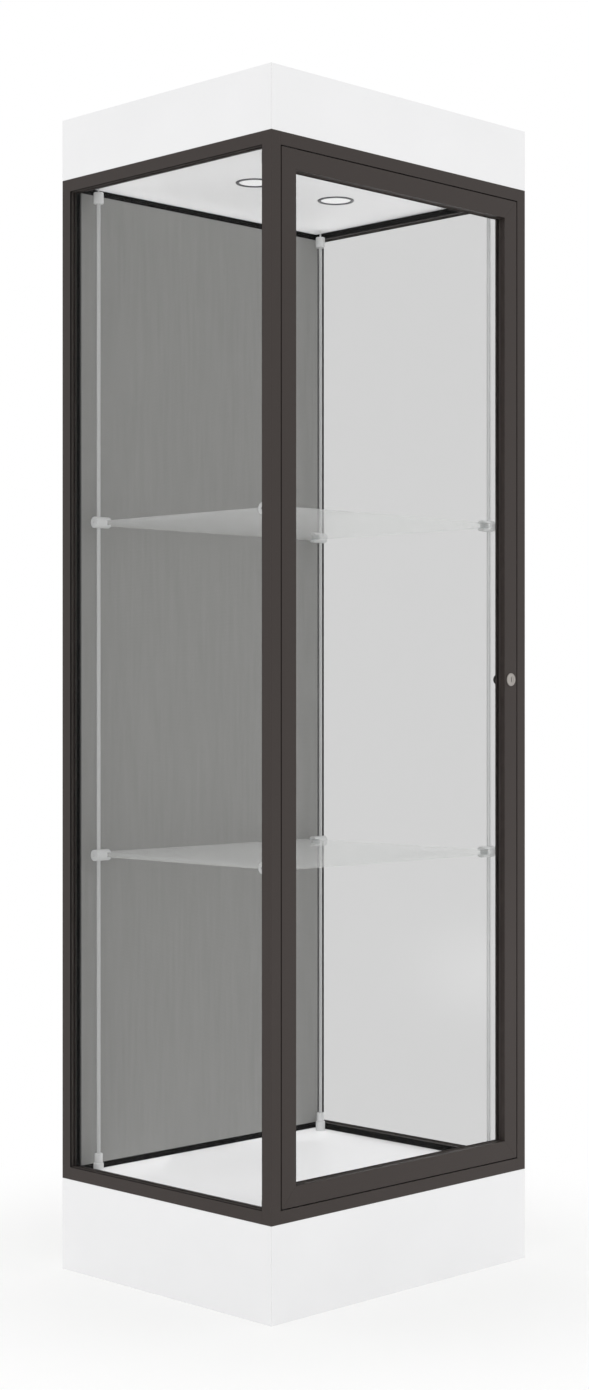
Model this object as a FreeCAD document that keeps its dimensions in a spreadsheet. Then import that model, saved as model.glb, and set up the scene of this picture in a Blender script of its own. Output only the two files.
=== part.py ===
import FreeCAD, Part
import math
import os
from types import SimpleNamespace
import Sketcher

# A floor-standing glass tower display case.
# X runs to the right along the door, Y to the back and Z up.
# The origin is on the floor, under the middle of the case. Sizes are in millimetres.

# Driving dimensions
DRIVING_DIMENSIONS = {
    # whole case
    "case_width": 608.4,
    "case_depth": 502.5,
    "base_height": 152.4,
    "frame_height": 1676.4,
    "header_height": 101.6,
    # laminate boards
    "board": 19.0,
    "board_play": 0.2,
    "floor_thick": 9.5,
    "ceiling_drop": 9.5,
    "ceiling_thick": 19.0,
    "panel_play": 0.3,
    "cleat": 20.0,
    # corner blocks and levellers
    "block": 50.0,
    "block_bottom": 22.0,
    "nut_flange_radius": 13.0,
    "nut_flange": 2.0,
    "nut_barrel_radius": 7.0,
    "nut_barrel": 14.0,
    "stem_radius": 5.0,
    "stem_play": 0.05,
    "stem_length": 66.0,
    "stem_well": 72.0,
    "foot_radius": 19.0,
    "foot_edge": 3.0,
    "foot_height": 6.0,
    "foot_lift": 1.0,
    "collar_radius": 9.0,
    "collar_height": 6.0,
    # frame tubes
    "tube": 20.5,
    "tube_wall": 1.8,
    "tube_hollow": 11.2,
    "spigot_length": 36.0,
    "spigot_play": 0.1,
    # side panes and their gaskets
    "glass": 6.0,
    "glass_inset": 5.0,
    "glass_bite": 3.4,
    "glass_play": 0.05,
    "gasket_wall": 1.4,
    "gasket_back": 1.0,
    "gasket_bead": 1.5,
    "groove_play": 0.1,
    "groove_depth": 4.5,
    # back panel
    "back_thick": 12.0,
    "back_lip": 2.0,
    "back_stand": 4.8,
    "back_bite": 5.5,
    "back_groove": 6.0,
    "back_play": 0.1,
    # door
    "door_gap": 2.0,
    "door_face": 31.5,
    "door_thick": 21.0,
    "door_wall": 1.8,
    "door_groove": 7.0,
    "door_groove_web": 1.5,
    "door_glass_set": 11.5,
    "door_bite": 5.0,
    "door_bead": 1.0,
    "mitre_spare": 2.0,
    "key_arm": 60.0,
    "key_play": 0.1,
    # door pivots
    "pivot_in": 9.0,
    "pivot_back": 5.5,
    "pin_radius": 2.5,
    "pin_play": 0.05,
    "pin_root": 7.4,
    "pin_collar_radius": 4.5,
    "pin_collar": 1.8,
    "pin_reach": 13.5,
    "pin_tip": 1.0,
    "pin_well": 14.0,
    "pin_clear_radius": 3.2,
    # cam lock
    "lock_height": 990.6,
    "lock_flange_radius": 11.0,
    "lock_flange": 2.2,
    "lock_rim": 1.0,
    "barrel_radius": 8.0,
    "barrel_length": 24.6,
    "barrel_play": 0.05,
    "plug_radius": 5.5,
    "plug_set": 0.3,
    "plug_end": 24.9,
    "stub_radius": 4.0,
    "stub_end": 32.0,
    "key_slot_width": 1.4,
    "key_slot_length": 8.5,
    "key_slot_depth": 7.0,
    "lock_nut_flat": 10.5,
    "lock_nut_thick": 3.0,
    "cam_front": 25.0,
    "cam_thick": 2.0,
    "cam_half": 7.0,
    "cam_hub": 8.0,
    "cam_reach": 23.75,
    "cam_nose": 3.5,
    "cam_round": 6.5,
    "cap_radius": 8.0,
    "cap_end": 33.7,
    "cap_bevel": 2.0,
    "strike_from": 12.9,
    "strike_lap": 5.0,
    "strike_step": 0.9,
    "strike_thick": 4.0,
    "strike_length": 40.0,
    # shelf rods and their sockets
    "rod_x": 266.0,
    "rod_y": 202.3,
    "rod_radius": 3.175,
    "rod_play": 0.05,
    "socket_radius": 8.5,
    "socket_bevel": 0.8,
    "socket_bore": 3.2,
    "mouth_radius": 4.6,
    "mouth_depth": 1.5,
    "low_socket": 17.4,
    "low_groove_radius": 6.0,
    "low_groove": 1.2,
    "low_collar_radius": 6.8,
    "low_collar": 14.5,
    "low_seat": 4.5,
    "top_socket": 19.0,
    "top_gap": 11.5,
    "top_seat": 8.0,
    "stud_radius": 1.5,
    "stud_play": 0.1,
    # glass shelves and clamps
    "shelf_width": 507.0,
    "shelf_depth": 440.0,
    "shelf_thick": 8.0,
    "shelf_corner": 3.0,
    "upper_shelf": 1254.0,
    "lower_shelf": 695.5,
    "clamp_radius": 9.5,
    "clamp_outer": 10.0,
    "clamp_inner": 21.0,
    "clamp_bevel": 0.8,
    "slot_floor": 11.5,
    "slot_height": 10.0,
    "liner_set": 0.4,
    "liner_width": 15.0,
    "liner_play": 0.05,
    "set_screw_radius": 2.5,
    "set_screw_depth": 1.5,
    # recessed lights and their driver
    "light_x": 97.5,
    "light_radius": 28.5,
    "light_wall": 1.5,
    "light_top": 2.0,
    "light_height": 22.0,
    "light_play": 0.1,
    "lens_thick": 3.0,
    "lens_radius": 26.8,
    "bezel_radius": 31.5,
    "bezel_inner": 26.0,
    "bezel_thick": 1.8,
    "bezel_bevel": 1.0,
    "driver_length": 160.0,
    "driver_width": 46.0,
    "driver_height": 30.0,
    "driver_y": 130.0,
    "driver_round": 3.0,
    "tab_length": 18.0,
    "tab_thick": 3.0,
    "tab_hole": 2.2,
    # cord grommet
    "grommet_x": 200.0,
    "grommet_drop": 50.0,
    "grommet_bore": 4.5,
    "grommet_radius": 9.0,
    "grommet_flange_radius": 12.0,
    "grommet_flange": 2.0,
    "grommet_barb_radius": 10.8,
    "grommet_barb": 3.0,
    "grommet_play": 0.05,
}

HEXAGON_SIDES = 6
ROUND_TO_FLAT = 1 / math.cos(math.pi / HEXAGON_SIDES)
BOTH_SIDES = (-1, 1)
FRONT, BACK = BOTH_SIDES
LEFT, RIGHT = BOTH_SIDES
LOW, HIGH = BOTH_SIDES
SIDE_NAMES = {LEFT: "left", RIGHT: "right"}
DEPTH_NAMES = {FRONT: "front", BACK: "back"}
LEVEL_NAMES = {LOW: "bottom", HIGH: "top"}
UPRIGHT = FreeCAD.Vector(0, 0, 1)
ACROSS = FreeCAD.Vector(1, 0, 0)
INWARDS = FreeCAD.Vector(0, 1, 0)
HALF_TURN = 180
FULL_TURN = 360
SMALLEST_CUT = 0.01
PARALLEL = 1e-6

# A sketch's own numbers for its axes and for the points of an edge
SKETCH_X_AXIS = -1
SKETCH_Y_AXIS = -2
SKETCH_ORIGIN = (-1, 1)
EDGE_START = 1
EDGE_END = 2
EDGE_CENTRE = 3

doc = FreeCAD.newDocument("display_case")
sheet = doc.addObject("Spreadsheet::Sheet", "dims")
for row, (name, number) in enumerate(DRIVING_DIMENSIONS.items(), start=1):
    sheet.set(f"A{row}", name)
    sheet.set(f"B{row}", str(number))
    sheet.setAlias(f"B{row}", name)
doc.recompute()


class Size:
    """A length that keeps its value together with the sheet formula that gives it."""

    def __init__(self, value, formula):
        self.value = value
        self.formula = formula

    def __add__(self, other):
        other = as_size(other)
        return Size(self.value + other.value, f"({self.formula} + {other.formula})")

    def __sub__(self, other):
        other = as_size(other)
        return Size(self.value - other.value, f"({self.formula} - {other.formula})")

    def __mul__(self, factor):
        return Size(self.value * factor, f"({factor} * {self.formula})")

    def __truediv__(self, divisor):
        return Size(self.value / divisor, f"({self.formula} / {divisor})")

    def __neg__(self):
        return self * -1


def as_size(number):
    """A plain number as a Size, and a Size as it is."""
    if isinstance(number, Size):
        return number
    return Size(float(number), str(float(number)))


d = SimpleNamespace(**{name: Size(sheet.get(name), f"dims.{name}") for name in DRIVING_DIMENSIONS})
ZERO = as_size(0)

# Levels and planes that several pieces share
half_width = d.case_width / 2
half_depth = d.case_depth / 2
frame_top = d.base_height + d.frame_height
case_top = frame_top + d.header_height
frame_middle = d.base_height + d.frame_height / 2
half_frame = d.frame_height / 2
inside_x = half_width - d.tube
inside_y = half_depth - d.tube
board_inside_x = half_width - d.board
board_inside_y = half_depth - d.board
floor_top = d.base_height + d.floor_thick
ceiling_under = frame_top - d.ceiling_drop
ceiling_top = ceiling_under + d.ceiling_thick
half_door = inside_x - d.door_gap
half_door_height = half_frame - d.tube - d.door_gap
frame_levels = {LOW: d.base_height, HIGH: frame_top}

nodes = []


def bind(thing, path, size):
    """Ties one property of a document object to the sheet."""
    thing.setExpression(path, as_size(size).formula)


def move_to(thing, place):
    for letter, size in zip("xyz", place):
        bind(thing, f"Placement.Base.{letter}", size)


def new_body(label, x=ZERO, y=ZERO, z=ZERO):
    body = doc.addObject("PartDesign::Body", label)
    body.Label = label
    move_to(body, (x, y, z))
    return body


def new_sketch(body, plane, offset=ZERO):
    """A sketch on one of the body's own planes: XY, XZ or YZ."""
    planes = {feature.Role: feature for feature in body.Origin.OriginFeatures}
    sketch = body.newObject("Sketcher::SketchObject", f"{body.Name}_sketch")
    sketch.AttachmentSupport = [(planes[f"{plane}_Plane"], "")]
    sketch.MapMode = "FlatFace"
    bind(sketch, "AttachmentOffset.Base.z", offset)
    return sketch


def pin_point(sketch, edge, end, x, y):
    """Holds one end of an edge, or a circle's centre, at sheet-driven coordinates."""
    for size, distance, axis in ((x, "DistanceX", SKETCH_Y_AXIS), (y, "DistanceY", SKETCH_X_AXIS)):
        if size.value == 0:
            sketch.addConstraint(Sketcher.Constraint("PointOnObject", edge, end, axis))
            continue
        rule = Sketcher.Constraint(distance, *SKETCH_ORIGIN, edge, end, size.value)
        number = sketch.addConstraint(rule)
        bind(sketch, f"Constraints[{number}]", size)


def outline(sketch, points):
    """A closed outline of straight edges through sheet-driven points."""
    points = [(as_size(x), as_size(y)) for x, y in points]
    corners = [FreeCAD.Vector(x.value, y.value, 0) for x, y in points]
    first = sketch.GeometryCount
    count = len(points)
    for index, corner in enumerate(corners):
        sketch.addGeometry(Part.LineSegment(corner, corners[(index + 1) % count]))
    for index, (x, y) in enumerate(points):
        following = first + (index + 1) % count
        edge = first + index
        sketch.addConstraint(Sketcher.Constraint("Coincident", edge, EDGE_END, following, EDGE_START))
        pin_point(sketch, edge, EDGE_START, x, y)


def rectangle(sketch, half_x, half_y, x=ZERO, y=ZERO):
    """A rectangle about a centre point."""
    outline(sketch, [
        (x - half_x, y - half_y),
        (x + half_x, y - half_y),
        (x + half_x, y + half_y),
        (x - half_x, y + half_y),
    ])


def hexagon(sketch, flat, turn=0):
    """A hexagon round the sketch's origin, given by half its width across flats."""
    corner = flat * ROUND_TO_FLAT
    angles = [turn + 2 * math.pi * side / HEXAGON_SIDES for side in range(HEXAGON_SIDES)]
    outline(sketch, [(corner * math.cos(angle), corner * math.sin(angle)) for angle in angles])


def circle(sketch, radius, x=ZERO, y=ZERO):
    x = as_size(x)
    y = as_size(y)
    centre = FreeCAD.Vector(x.value, y.value, 0)
    edge = sketch.addGeometry(Part.Circle(centre, UPRIGHT, radius.value))
    pin_point(sketch, edge, EDGE_CENTRE, x, y)
    number = sketch.addConstraint(Sketcher.Constraint("Radius", edge, radius.value))
    bind(sketch, f"Constraints[{number}]", radius)


def pad(body, sketch, length):
    """Extrudes a sketch equally to both sides of its plane."""
    feature = body.newObject("PartDesign::Pad", f"{body.Name}_pad")
    feature.Profile = sketch
    feature.SideType = "Symmetric"
    bind(feature, "Length", length)


def cut(body, sketch, length=None):
    """Cuts a sketch equally to both sides of its plane, or through everything."""
    feature = body.newObject("PartDesign::Pocket", f"{body.Name}_cut")
    feature.Profile = sketch
    feature.SideType = "Symmetric"
    if length is None:
        feature.Type = "ThroughAll"
    else:
        bind(feature, "Length", length)


def revolve(body, sketch, axis="V_Axis"):
    feature = body.newObject("PartDesign::Revolution", f"{body.Name}_turned")
    feature.Profile = sketch
    feature.ReferenceAxis = (sketch, [axis])
    feature.Angle = FULL_TURN


def turned(label, plane, points, x=ZERO, y=ZERO, z=ZERO):
    """A body turned about the vertical axis of its sketch, from radius and height points."""
    body = new_body(label, x, y, z)
    sketch = new_sketch(body, plane)
    outline(sketch, points)
    revolve(body, sketch)
    return body


def round_edges(body, direction, radius, chosen=lambda middle: True):
    """Rounds the straight edges of a body that run along one direction."""
    doc.recompute()
    base = body.Tip
    names = []
    for number, edge in enumerate(base.Shape.Edges, start=1):
        run = edge.Vertexes[-1].Point - edge.Vertexes[0].Point
        straight = isinstance(edge.Curve, Part.Line)
        if straight and run.cross(direction).Length < PARALLEL and chosen(edge.CenterOfMass):
            names.append(f"Edge{number}")
    feature = body.newObject("PartDesign::Fillet", f"{body.Name}_round")
    feature.Base = (base, names)
    bind(feature, "Radius", radius)


def keep(piece):
    """Hands a finished piece in under its label."""
    nodes.append(piece)
    return piece


def copy_of(piece, place, axis=UPRIGHT, turn=0):
    """A second example of a piece, at its own place."""
    link = doc.addObject("App::Link", f"{piece.Name}_copy")
    link.LinkedObject = piece
    link.Placement = FreeCAD.Placement(FreeCAD.Vector(), FreeCAD.Rotation(axis, turn))
    move_to(link, place)
    return link


def group(label, pieces):
    """Several separate solids that are handed in as one piece."""
    compound = doc.addObject("Part::Compound", label)
    compound.Label = label
    compound.Links = pieces
    return keep(compound)


def panel(label, plane, half_x, half_y, thick, x=ZERO, y=ZERO, z=ZERO):
    """A flat board or pane about its own middle."""
    body = new_body(label, x, y, z)
    sketch = new_sketch(body, plane)
    rectangle(sketch, half_x, half_y)
    pad(body, sketch, thick)
    return body


# Laminate boards of the base and the header, mitred at the corners
def wide_board(label, side, bottom, height):
    """A front or back board, as wide as the case."""
    body = new_body(label, ZERO, half_depth * side, bottom + height / 2)
    inner = d.board * -side
    sketch = new_sketch(body, "XY")
    outline(sketch, [
        (-half_width, ZERO),
        (half_width, ZERO),
        (board_inside_x, inner),
        (-board_inside_x, inner),
    ])
    pad(body, sketch, height)
    return body


def side_board(label, side, bottom, height):
    """A left or right board, as deep as the case."""
    body = new_body(label, half_width * side, ZERO, bottom + height / 2)
    inner = d.board * -side
    sketch = new_sketch(body, "XY")
    outline(sketch, [
        (ZERO, -half_depth),
        (inner, -board_inside_y),
        (inner, board_inside_y),
        (ZERO, half_depth),
    ])
    pad(body, sketch, height)
    return body


def board_box(part, bottom, height):
    """The four boards of the base or the header."""
    for side, word in DEPTH_NAMES.items():
        keep(wide_board(f"{part}_{word}_board", side, bottom, height))
    sides = [side_board(f"{part}_{word}_side", side, bottom, height) for side, word in SIDE_NAMES.items()]
    group(f"{part}_side_boards", sides)


board_box("base", ZERO, d.base_height)
board_box("header", frame_top, d.header_height)

# Base deck and header top, set in between the boards
inset_x = board_inside_x - d.board_play
inset_y = board_inside_y - d.board_play
for label, top in (("base_deck", d.base_height), ("header_top_board", case_top)):
    keep(panel(label, "XY", inset_x, inset_y, d.board, z=top - d.board / 2))

# Corner blocks in the base, with wells for the leveller stems
deck_under = d.base_height - d.board
block_height = deck_under - d.block_bottom
block_x = board_inside_x - d.block / 2
block_y = board_inside_y - d.block / 2
block_middle = d.block_bottom + block_height / 2
corner_block = panel(
    "corner_block", "XY", d.block / 2, d.block / 2, block_height, -block_x, -block_y, block_middle
)
for radius, depth in (
    (d.nut_barrel_radius + d.board_play, d.nut_barrel + d.board_play),
    (d.stem_radius + d.board_play, d.stem_well),
):
    well = new_sketch(corner_block, "XY", -block_height / 2)
    circle(well, radius)
    cut(corner_block, well, depth * 2)

# Leveller nuts, flanged against the underside of the blocks
nut_bore = d.stem_radius + d.stem_play
nut_top = d.nut_flange + d.nut_barrel
nut_under = d.block_bottom - d.nut_flange
leveller_nut = turned("leveller_nut", "XZ", [
    (nut_bore, ZERO),
    (d.nut_flange_radius, ZERO),
    (d.nut_flange_radius, d.nut_flange),
    (d.nut_barrel_radius, d.nut_flange),
    (d.nut_barrel_radius, nut_top),
    (nut_bore, nut_top),
], -block_x, -block_y, nut_under)


# Leveller feet, each a round pad, a hexagon collar and a stem
def leveller_foot(label, x, y):
    body = new_body(label, x, y, d.foot_lift)
    collar_top = d.foot_height + d.collar_height
    sketch = new_sketch(body, "XZ")
    outline(sketch, [
        (ZERO, ZERO),
        (d.foot_radius, ZERO),
        (d.foot_radius, d.foot_edge),
        (d.foot_radius - d.foot_edge, d.foot_height),
        (d.stem_radius, d.foot_height),
        (d.stem_radius, collar_top + d.stem_length),
        (ZERO, collar_top + d.stem_length),
    ])
    revolve(body, sketch)
    collar = new_sketch(body, "XY", d.foot_height + d.collar_height / 2)
    hexagon(collar, d.collar_radius)
    pad(body, collar, d.collar_height)
    return body


blocks = [corner_block]
nuts = [leveller_nut]
for depth_side, depth_word in DEPTH_NAMES.items():
    for side, side_word in SIDE_NAMES.items():
        x = block_x * side
        y = block_y * depth_side
        keep(leveller_foot(f"leveller_foot_{depth_word}_{side_word}", x, y))
        if (side, depth_side) != (LEFT, FRONT):
            blocks.append(copy_of(corner_block, (x, y, block_middle)))
            nuts.append(copy_of(leveller_nut, (x, y, nut_under)))
group("base_corner_blocks", blocks)
group("leveller_nuts", nuts)

# Frame tubes: one extruded section with grooves where it carries glass or the back panel
glass_groove_from = d.glass_inset - d.gasket_wall - d.groove_play
glass_groove_to = d.glass_inset + d.glass + d.gasket_wall + d.groove_play
back_groove_to = d.tube - d.back_lip
back_groove_from = back_groove_to - d.back_thick - d.back_play * 2


def tube_section(sketch, place, holds_glass, holds_panel):
    """Draws the tube's section; place turns two distances from the outer faces into sketch points."""
    section = [(ZERO, ZERO), (d.tube, ZERO)]
    if holds_panel:
        floor = d.tube - d.back_groove
        section += [(d.tube, back_groove_from), (floor, back_groove_from)]
        section += [(floor, back_groove_to), (d.tube, back_groove_to)]
    section.append((d.tube, d.tube))
    if holds_glass:
        floor = d.tube - d.groove_depth
        section += [(glass_groove_to, d.tube), (glass_groove_to, floor)]
        section += [(glass_groove_from, floor), (glass_groove_from, d.tube)]
    section.append((ZERO, d.tube))
    outline(sketch, [place(a, b) for a, b in section])
    near = d.tube_wall
    far = d.tube_wall + d.tube_hollow
    hollow = [(near, near), (far, near), (far, far), (near, far)]
    outline(sketch, [place(a, b) for a, b in hollow])


def post(side, depth_side):
    """A corner post over the whole height of the frame."""
    label = f"post_{DEPTH_NAMES[depth_side]}_{SIDE_NAMES[side]}"
    body = new_body(label, half_width * side, half_depth * depth_side, frame_middle)
    sketch = new_sketch(body, "XY")
    tube_section(
        sketch,
        lambda a, b: (a * -side, b * -depth_side),
        holds_glass=True,
        holds_panel=depth_side == BACK,
    )
    pad(body, sketch, d.frame_height)
    return body


def wide_rail(depth_side, level):
    """A front or back rail between two posts."""
    label = f"rail_{LEVEL_NAMES[level]}_{DEPTH_NAMES[depth_side]}"
    body = new_body(label, ZERO, half_depth * depth_side, frame_levels[level])
    sketch = new_sketch(body, "YZ")
    tube_section(
        sketch,
        lambda a, b: (b * -depth_side, a * -level),
        holds_glass=False,
        holds_panel=depth_side == BACK,
    )
    pad(body, sketch, inside_x * 2)
    return body


def side_rail(side, level):
    """A left or right rail between two posts."""
    label = f"rail_{LEVEL_NAMES[level]}_{SIDE_NAMES[side]}"
    body = new_body(label, half_width * side, ZERO, frame_levels[level])
    sketch = new_sketch(body, "XZ")
    tube_section(
        sketch,
        lambda a, b: (a * -side, b * -level),
        holds_glass=True,
        holds_panel=False,
    )
    pad(body, sketch, inside_y * 2)
    return body


pivot_x = d.pivot_in - half_door
pivot_y = d.pivot_back - half_depth

for depth_side in BOTH_SIDES:
    for side in BOTH_SIDES:
        keep(post(side, depth_side))

for level in BOTH_SIDES:
    keep(wide_rail(BACK, level))
    front_rail = keep(wide_rail(FRONT, level))
    pin_hole = new_sketch(front_rail, "XY", d.tube * -level)
    circle(pin_hole, d.pin_radius + d.pin_play, pivot_x, d.pivot_back)
    cut(front_rail, pin_hole, (d.tube - d.tube_wall - d.tube_hollow) * 2)
    group(f"rail_{LEVEL_NAMES[level]}_sides", [side_rail(side, level) for side in BOTH_SIDES])

# Spigots that stand on the posts and carry the rail ends
spigot_half = d.tube_hollow / 2 - d.spigot_play
spigot_in = d.tube_wall + d.tube_hollow / 2
spigot_levels = {LOW: d.base_height + spigot_in, HIGH: frame_top - spigot_in}

wide_spigot = panel("wide_spigot", "YZ", spigot_half, spigot_half, d.spigot_length)
deep_spigot = panel("deep_spigot", "XZ", spigot_half, spigot_half, d.spigot_length)
spigots = []
for level in BOTH_SIDES:
    for side in BOTH_SIDES:
        for depth_side in BOTH_SIDES:
            post_x = (half_width - spigot_in) * side
            post_y = (half_depth - spigot_in) * depth_side
            end_x = (inside_x - d.spigot_length / 2) * side
            end_y = (inside_y - d.spigot_length / 2) * depth_side
            spigots.append(copy_of(wide_spigot, (end_x, post_y, spigot_levels[level])))
            spigots.append(copy_of(deep_spigot, (post_x, end_y, spigot_levels[level])))
group("rail_spigots", spigots)


# Panes held in channel gaskets
def gasket_frame(label, plane, half_x, half_y, bead_x, bead_y, place):
    """A channel gasket round a pane: a flat ring with the pane's own space cut out of it."""
    body = new_body(label, *place)
    ring = new_sketch(body, plane)
    rectangle(ring, half_x + d.gasket_back, half_y + d.gasket_back)
    rectangle(ring, bead_x, bead_y)
    pad(body, ring, d.glass + d.gasket_wall * 2)
    channel = new_sketch(body, plane)
    rectangle(channel, half_x + d.glass_play, half_y + d.glass_play)
    cut(body, channel, d.glass + d.glass_play * 2)
    return body


side_half_y = inside_y + d.glass_bite
side_half_z = half_frame - d.tube + d.glass_bite
side_bead_y = inside_y - d.gasket_bead
side_bead_z = half_frame - d.tube - d.gasket_bead
side_pane_x = half_width - d.glass_inset - d.glass / 2
side_gaskets = []
for side, word in SIDE_NAMES.items():
    place = (side_pane_x * side, ZERO, frame_middle)
    keep(panel(f"side_glass_{word}", "YZ", side_half_y, side_half_z, d.glass, *place))
    side_gaskets.append(gasket_frame(
        f"side_gasket_{word}", "YZ", side_half_y, side_half_z, side_bead_y, side_bead_z, place
    ))
group("side_gaskets", side_gaskets)

# Back panel in the grooves of the back posts and rails, its front field standing out of them
back_y = inside_y + d.back_lip + d.back_play + d.back_thick / 2
back_half_x = inside_x + d.back_bite
back_half_z = half_frame - d.tube + d.back_bite
back_panel = keep(panel(
    "back_panel", "XZ", back_half_x, back_half_z, d.back_thick, ZERO, back_y, frame_middle
))
field_thick = d.back_lip + d.back_play + d.back_stand
field = new_sketch(back_panel, "XZ", (d.back_thick + field_thick) / 2)
rectangle(field, inside_x - d.panel_play, half_frame - d.tube - d.panel_play)
pad(back_panel, field, field_thick)

# Floor and ceiling panels inside the rails
liner_x = inside_x - d.panel_play
liner_y = inside_y - d.panel_play
keep(panel(
    "floor_panel", "XY", liner_x, liner_y, d.floor_thick, z=d.base_height + d.floor_thick / 2
))
ceiling_middle = ceiling_under + d.ceiling_thick / 2
ceiling = keep(panel("ceiling_panel", "XY", liner_x, liner_y, d.ceiling_thick, z=ceiling_middle))
ceiling_holes = new_sketch(ceiling, "XY")
for side in BOTH_SIDES:
    circle(ceiling_holes, d.light_radius + d.light_play, d.light_x * side, ZERO)
    for depth_side in BOTH_SIDES:
        circle(ceiling_holes, d.stud_radius + d.stud_play, d.rod_x * side, d.rod_y * depth_side)
cut(ceiling, ceiling_holes)

# Cleats round the inside of the header, above the ceiling panel and below the top board
side_cleat_half = board_inside_y - d.cleat
wide_cleat = panel("wide_cleat", "XY", board_inside_x, d.cleat / 2, d.cleat)
deep_cleat = panel("deep_cleat", "XY", d.cleat / 2, side_cleat_half, d.cleat)
cleats = []
for level in (ceiling_top + d.cleat / 2, case_top - d.board - d.cleat / 2):
    for side in BOTH_SIDES:
        cleats.append(copy_of(wide_cleat, (ZERO, (board_inside_y - d.cleat / 2) * side, level)))
        cleats.append(copy_of(deep_cleat, ((board_inside_x - d.cleat / 2) * side, ZERO, level)))
group("header_cleats", cleats)

# Recessed lights: housing cup, lens and bezel
housing = turned("puck_housing", "XZ", [
    (d.light_radius - d.light_wall, d.light_play),
    (d.light_radius, d.light_play),
    (d.light_radius, d.light_height),
    (ZERO, d.light_height),
    (ZERO, d.light_height - d.light_top),
    (d.light_radius - d.light_wall, d.light_height - d.light_top),
], -d.light_x, ZERO, ceiling_under)
lens = turned("puck_lens", "XZ", [
    (ZERO, d.light_play),
    (d.lens_radius, d.light_play),
    (d.lens_radius, d.light_play + d.lens_thick),
    (ZERO, d.light_play + d.lens_thick),
], -d.light_x, ZERO, ceiling_under)
bezel = turned("puck_bezel", "XZ", [
    (d.bezel_inner, ZERO),
    (d.bezel_inner, d.bezel_bevel - d.bezel_thick),
    (d.bezel_inner + d.bezel_bevel, -d.bezel_thick),
    (d.bezel_radius - d.bezel_bevel, -d.bezel_thick),
    (d.bezel_radius, d.bezel_bevel - d.bezel_thick),
    (d.bezel_radius, ZERO),
], -d.light_x, ZERO, ceiling_under)
for label, piece in (("puck_housings", housing), ("puck_lenses", lens), ("puck_bezels", bezel)):
    group(label, [piece, copy_of(piece, (d.light_x, ZERO, ceiling_under))])

# Light driver on top of the ceiling panel, with a screw tab at each end
driver = keep(panel(
    "led_driver", "XY", d.driver_length / 2, d.driver_width / 2, d.driver_height,
    ZERO, d.driver_y, ceiling_top + d.driver_height / 2,
))
round_edges(driver, UPRIGHT, d.driver_round)
tabs = new_sketch(driver, "XY", (d.tab_thick - d.driver_height) / 2)
rectangle(tabs, d.driver_length / 2 + d.tab_length, d.driver_width / 2 - d.driver_round)
pad(driver, tabs, d.tab_thick)
tab_holes = new_sketch(driver, "XY", (d.tab_thick - d.driver_height) / 2)
for side in BOTH_SIDES:
    circle(tab_holes, d.tab_hole, (d.driver_length + d.tab_length) / 2 * side, ZERO)
cut(driver, tab_holes, d.tab_thick * 2)

# Cord grommet in the header's back board
header_back = doc.getObjectsByLabel("header_back_board")[0]
grommet_hole = new_sketch(header_back, "XZ")
circle(
    grommet_hole, d.grommet_radius + d.grommet_play,
    d.grommet_x, d.header_height / 2 - d.grommet_drop,
)
cut(header_back, grommet_hole)
grommet_inner = -d.board - d.grommet_barb
keep(turned("cord_grommet", "XY", [
    (d.grommet_bore, grommet_inner),
    (d.grommet_radius, grommet_inner),
    (d.grommet_barb_radius, -d.board),
    (d.grommet_radius, -d.board),
    (d.grommet_radius, ZERO),
    (d.grommet_flange_radius, ZERO),
    (d.grommet_flange_radius, d.grommet_flange / 2),
    (d.grommet_radius, d.grommet_flange),
    (d.grommet_bore, d.grommet_flange),
], d.grommet_x, half_depth, case_top - d.grommet_drop))

# Shelf rods and the sockets that hold them between floor and ceiling
low_groove_top = d.low_socket + d.low_groove
low_socket_top = low_groove_top + d.low_collar
top_socket_top = ceiling_under - d.top_gap
rod_bottom = floor_top + d.low_seat
rod_top = top_socket_top - d.top_seat
rod_length = rod_top - rod_bottom

low_socket = turned("rod_bottom_socket", "XZ", [
    (ZERO, ZERO),
    (d.socket_radius, ZERO),
    (d.socket_radius, d.low_socket - d.socket_bevel),
    (d.socket_radius - d.socket_bevel, d.low_socket),
    (d.low_groove_radius, d.low_socket),
    (d.low_groove_radius, low_groove_top),
    (d.low_collar_radius, low_groove_top),
    (d.low_collar_radius, low_socket_top - d.socket_bevel),
    (d.low_collar_radius - d.socket_bevel, low_socket_top),
    (d.mouth_radius, low_socket_top),
    (d.socket_bore, low_socket_top - d.mouth_depth),
    (d.socket_bore, d.low_seat),
    (ZERO, d.low_seat),
], -d.rod_x, -d.rod_y, floor_top)
top_socket = turned("rod_top_socket", "XZ", [
    (ZERO, -d.top_seat),
    (d.socket_bore, -d.top_seat),
    (d.socket_bore, d.mouth_depth - d.top_socket),
    (d.mouth_radius, -d.top_socket),
    (d.socket_radius - d.socket_bevel, -d.top_socket),
    (d.socket_radius, d.socket_bevel - d.top_socket),
    (d.socket_radius, -d.socket_bevel),
    (d.socket_radius - d.socket_bevel, ZERO),
    (d.stud_radius, ZERO),
    (d.stud_radius, d.top_gap + d.ceiling_thick),
    (ZERO, d.top_gap + d.ceiling_thick),
], -d.rod_x, -d.rod_y, top_socket_top)
rod_middle = (rod_bottom + rod_top) / 2
rod = new_body("shelf_rod", -d.rod_x, -d.rod_y, rod_middle)
rod_circle = new_sketch(rod, "XY")
circle(rod_circle, d.rod_radius)
pad(rod, rod_circle, rod_length)


def at_every_rod(label, piece, z):
    """Repeats a piece that stands at the front left rod at the other rods."""
    pieces = [piece]
    for depth_side in BOTH_SIDES:
        for side in BOTH_SIDES:
            if (side, depth_side) != (LEFT, FRONT):
                pieces.append(copy_of(piece, (d.rod_x * side, d.rod_y * depth_side, z)))
    group(label, pieces)


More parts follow.
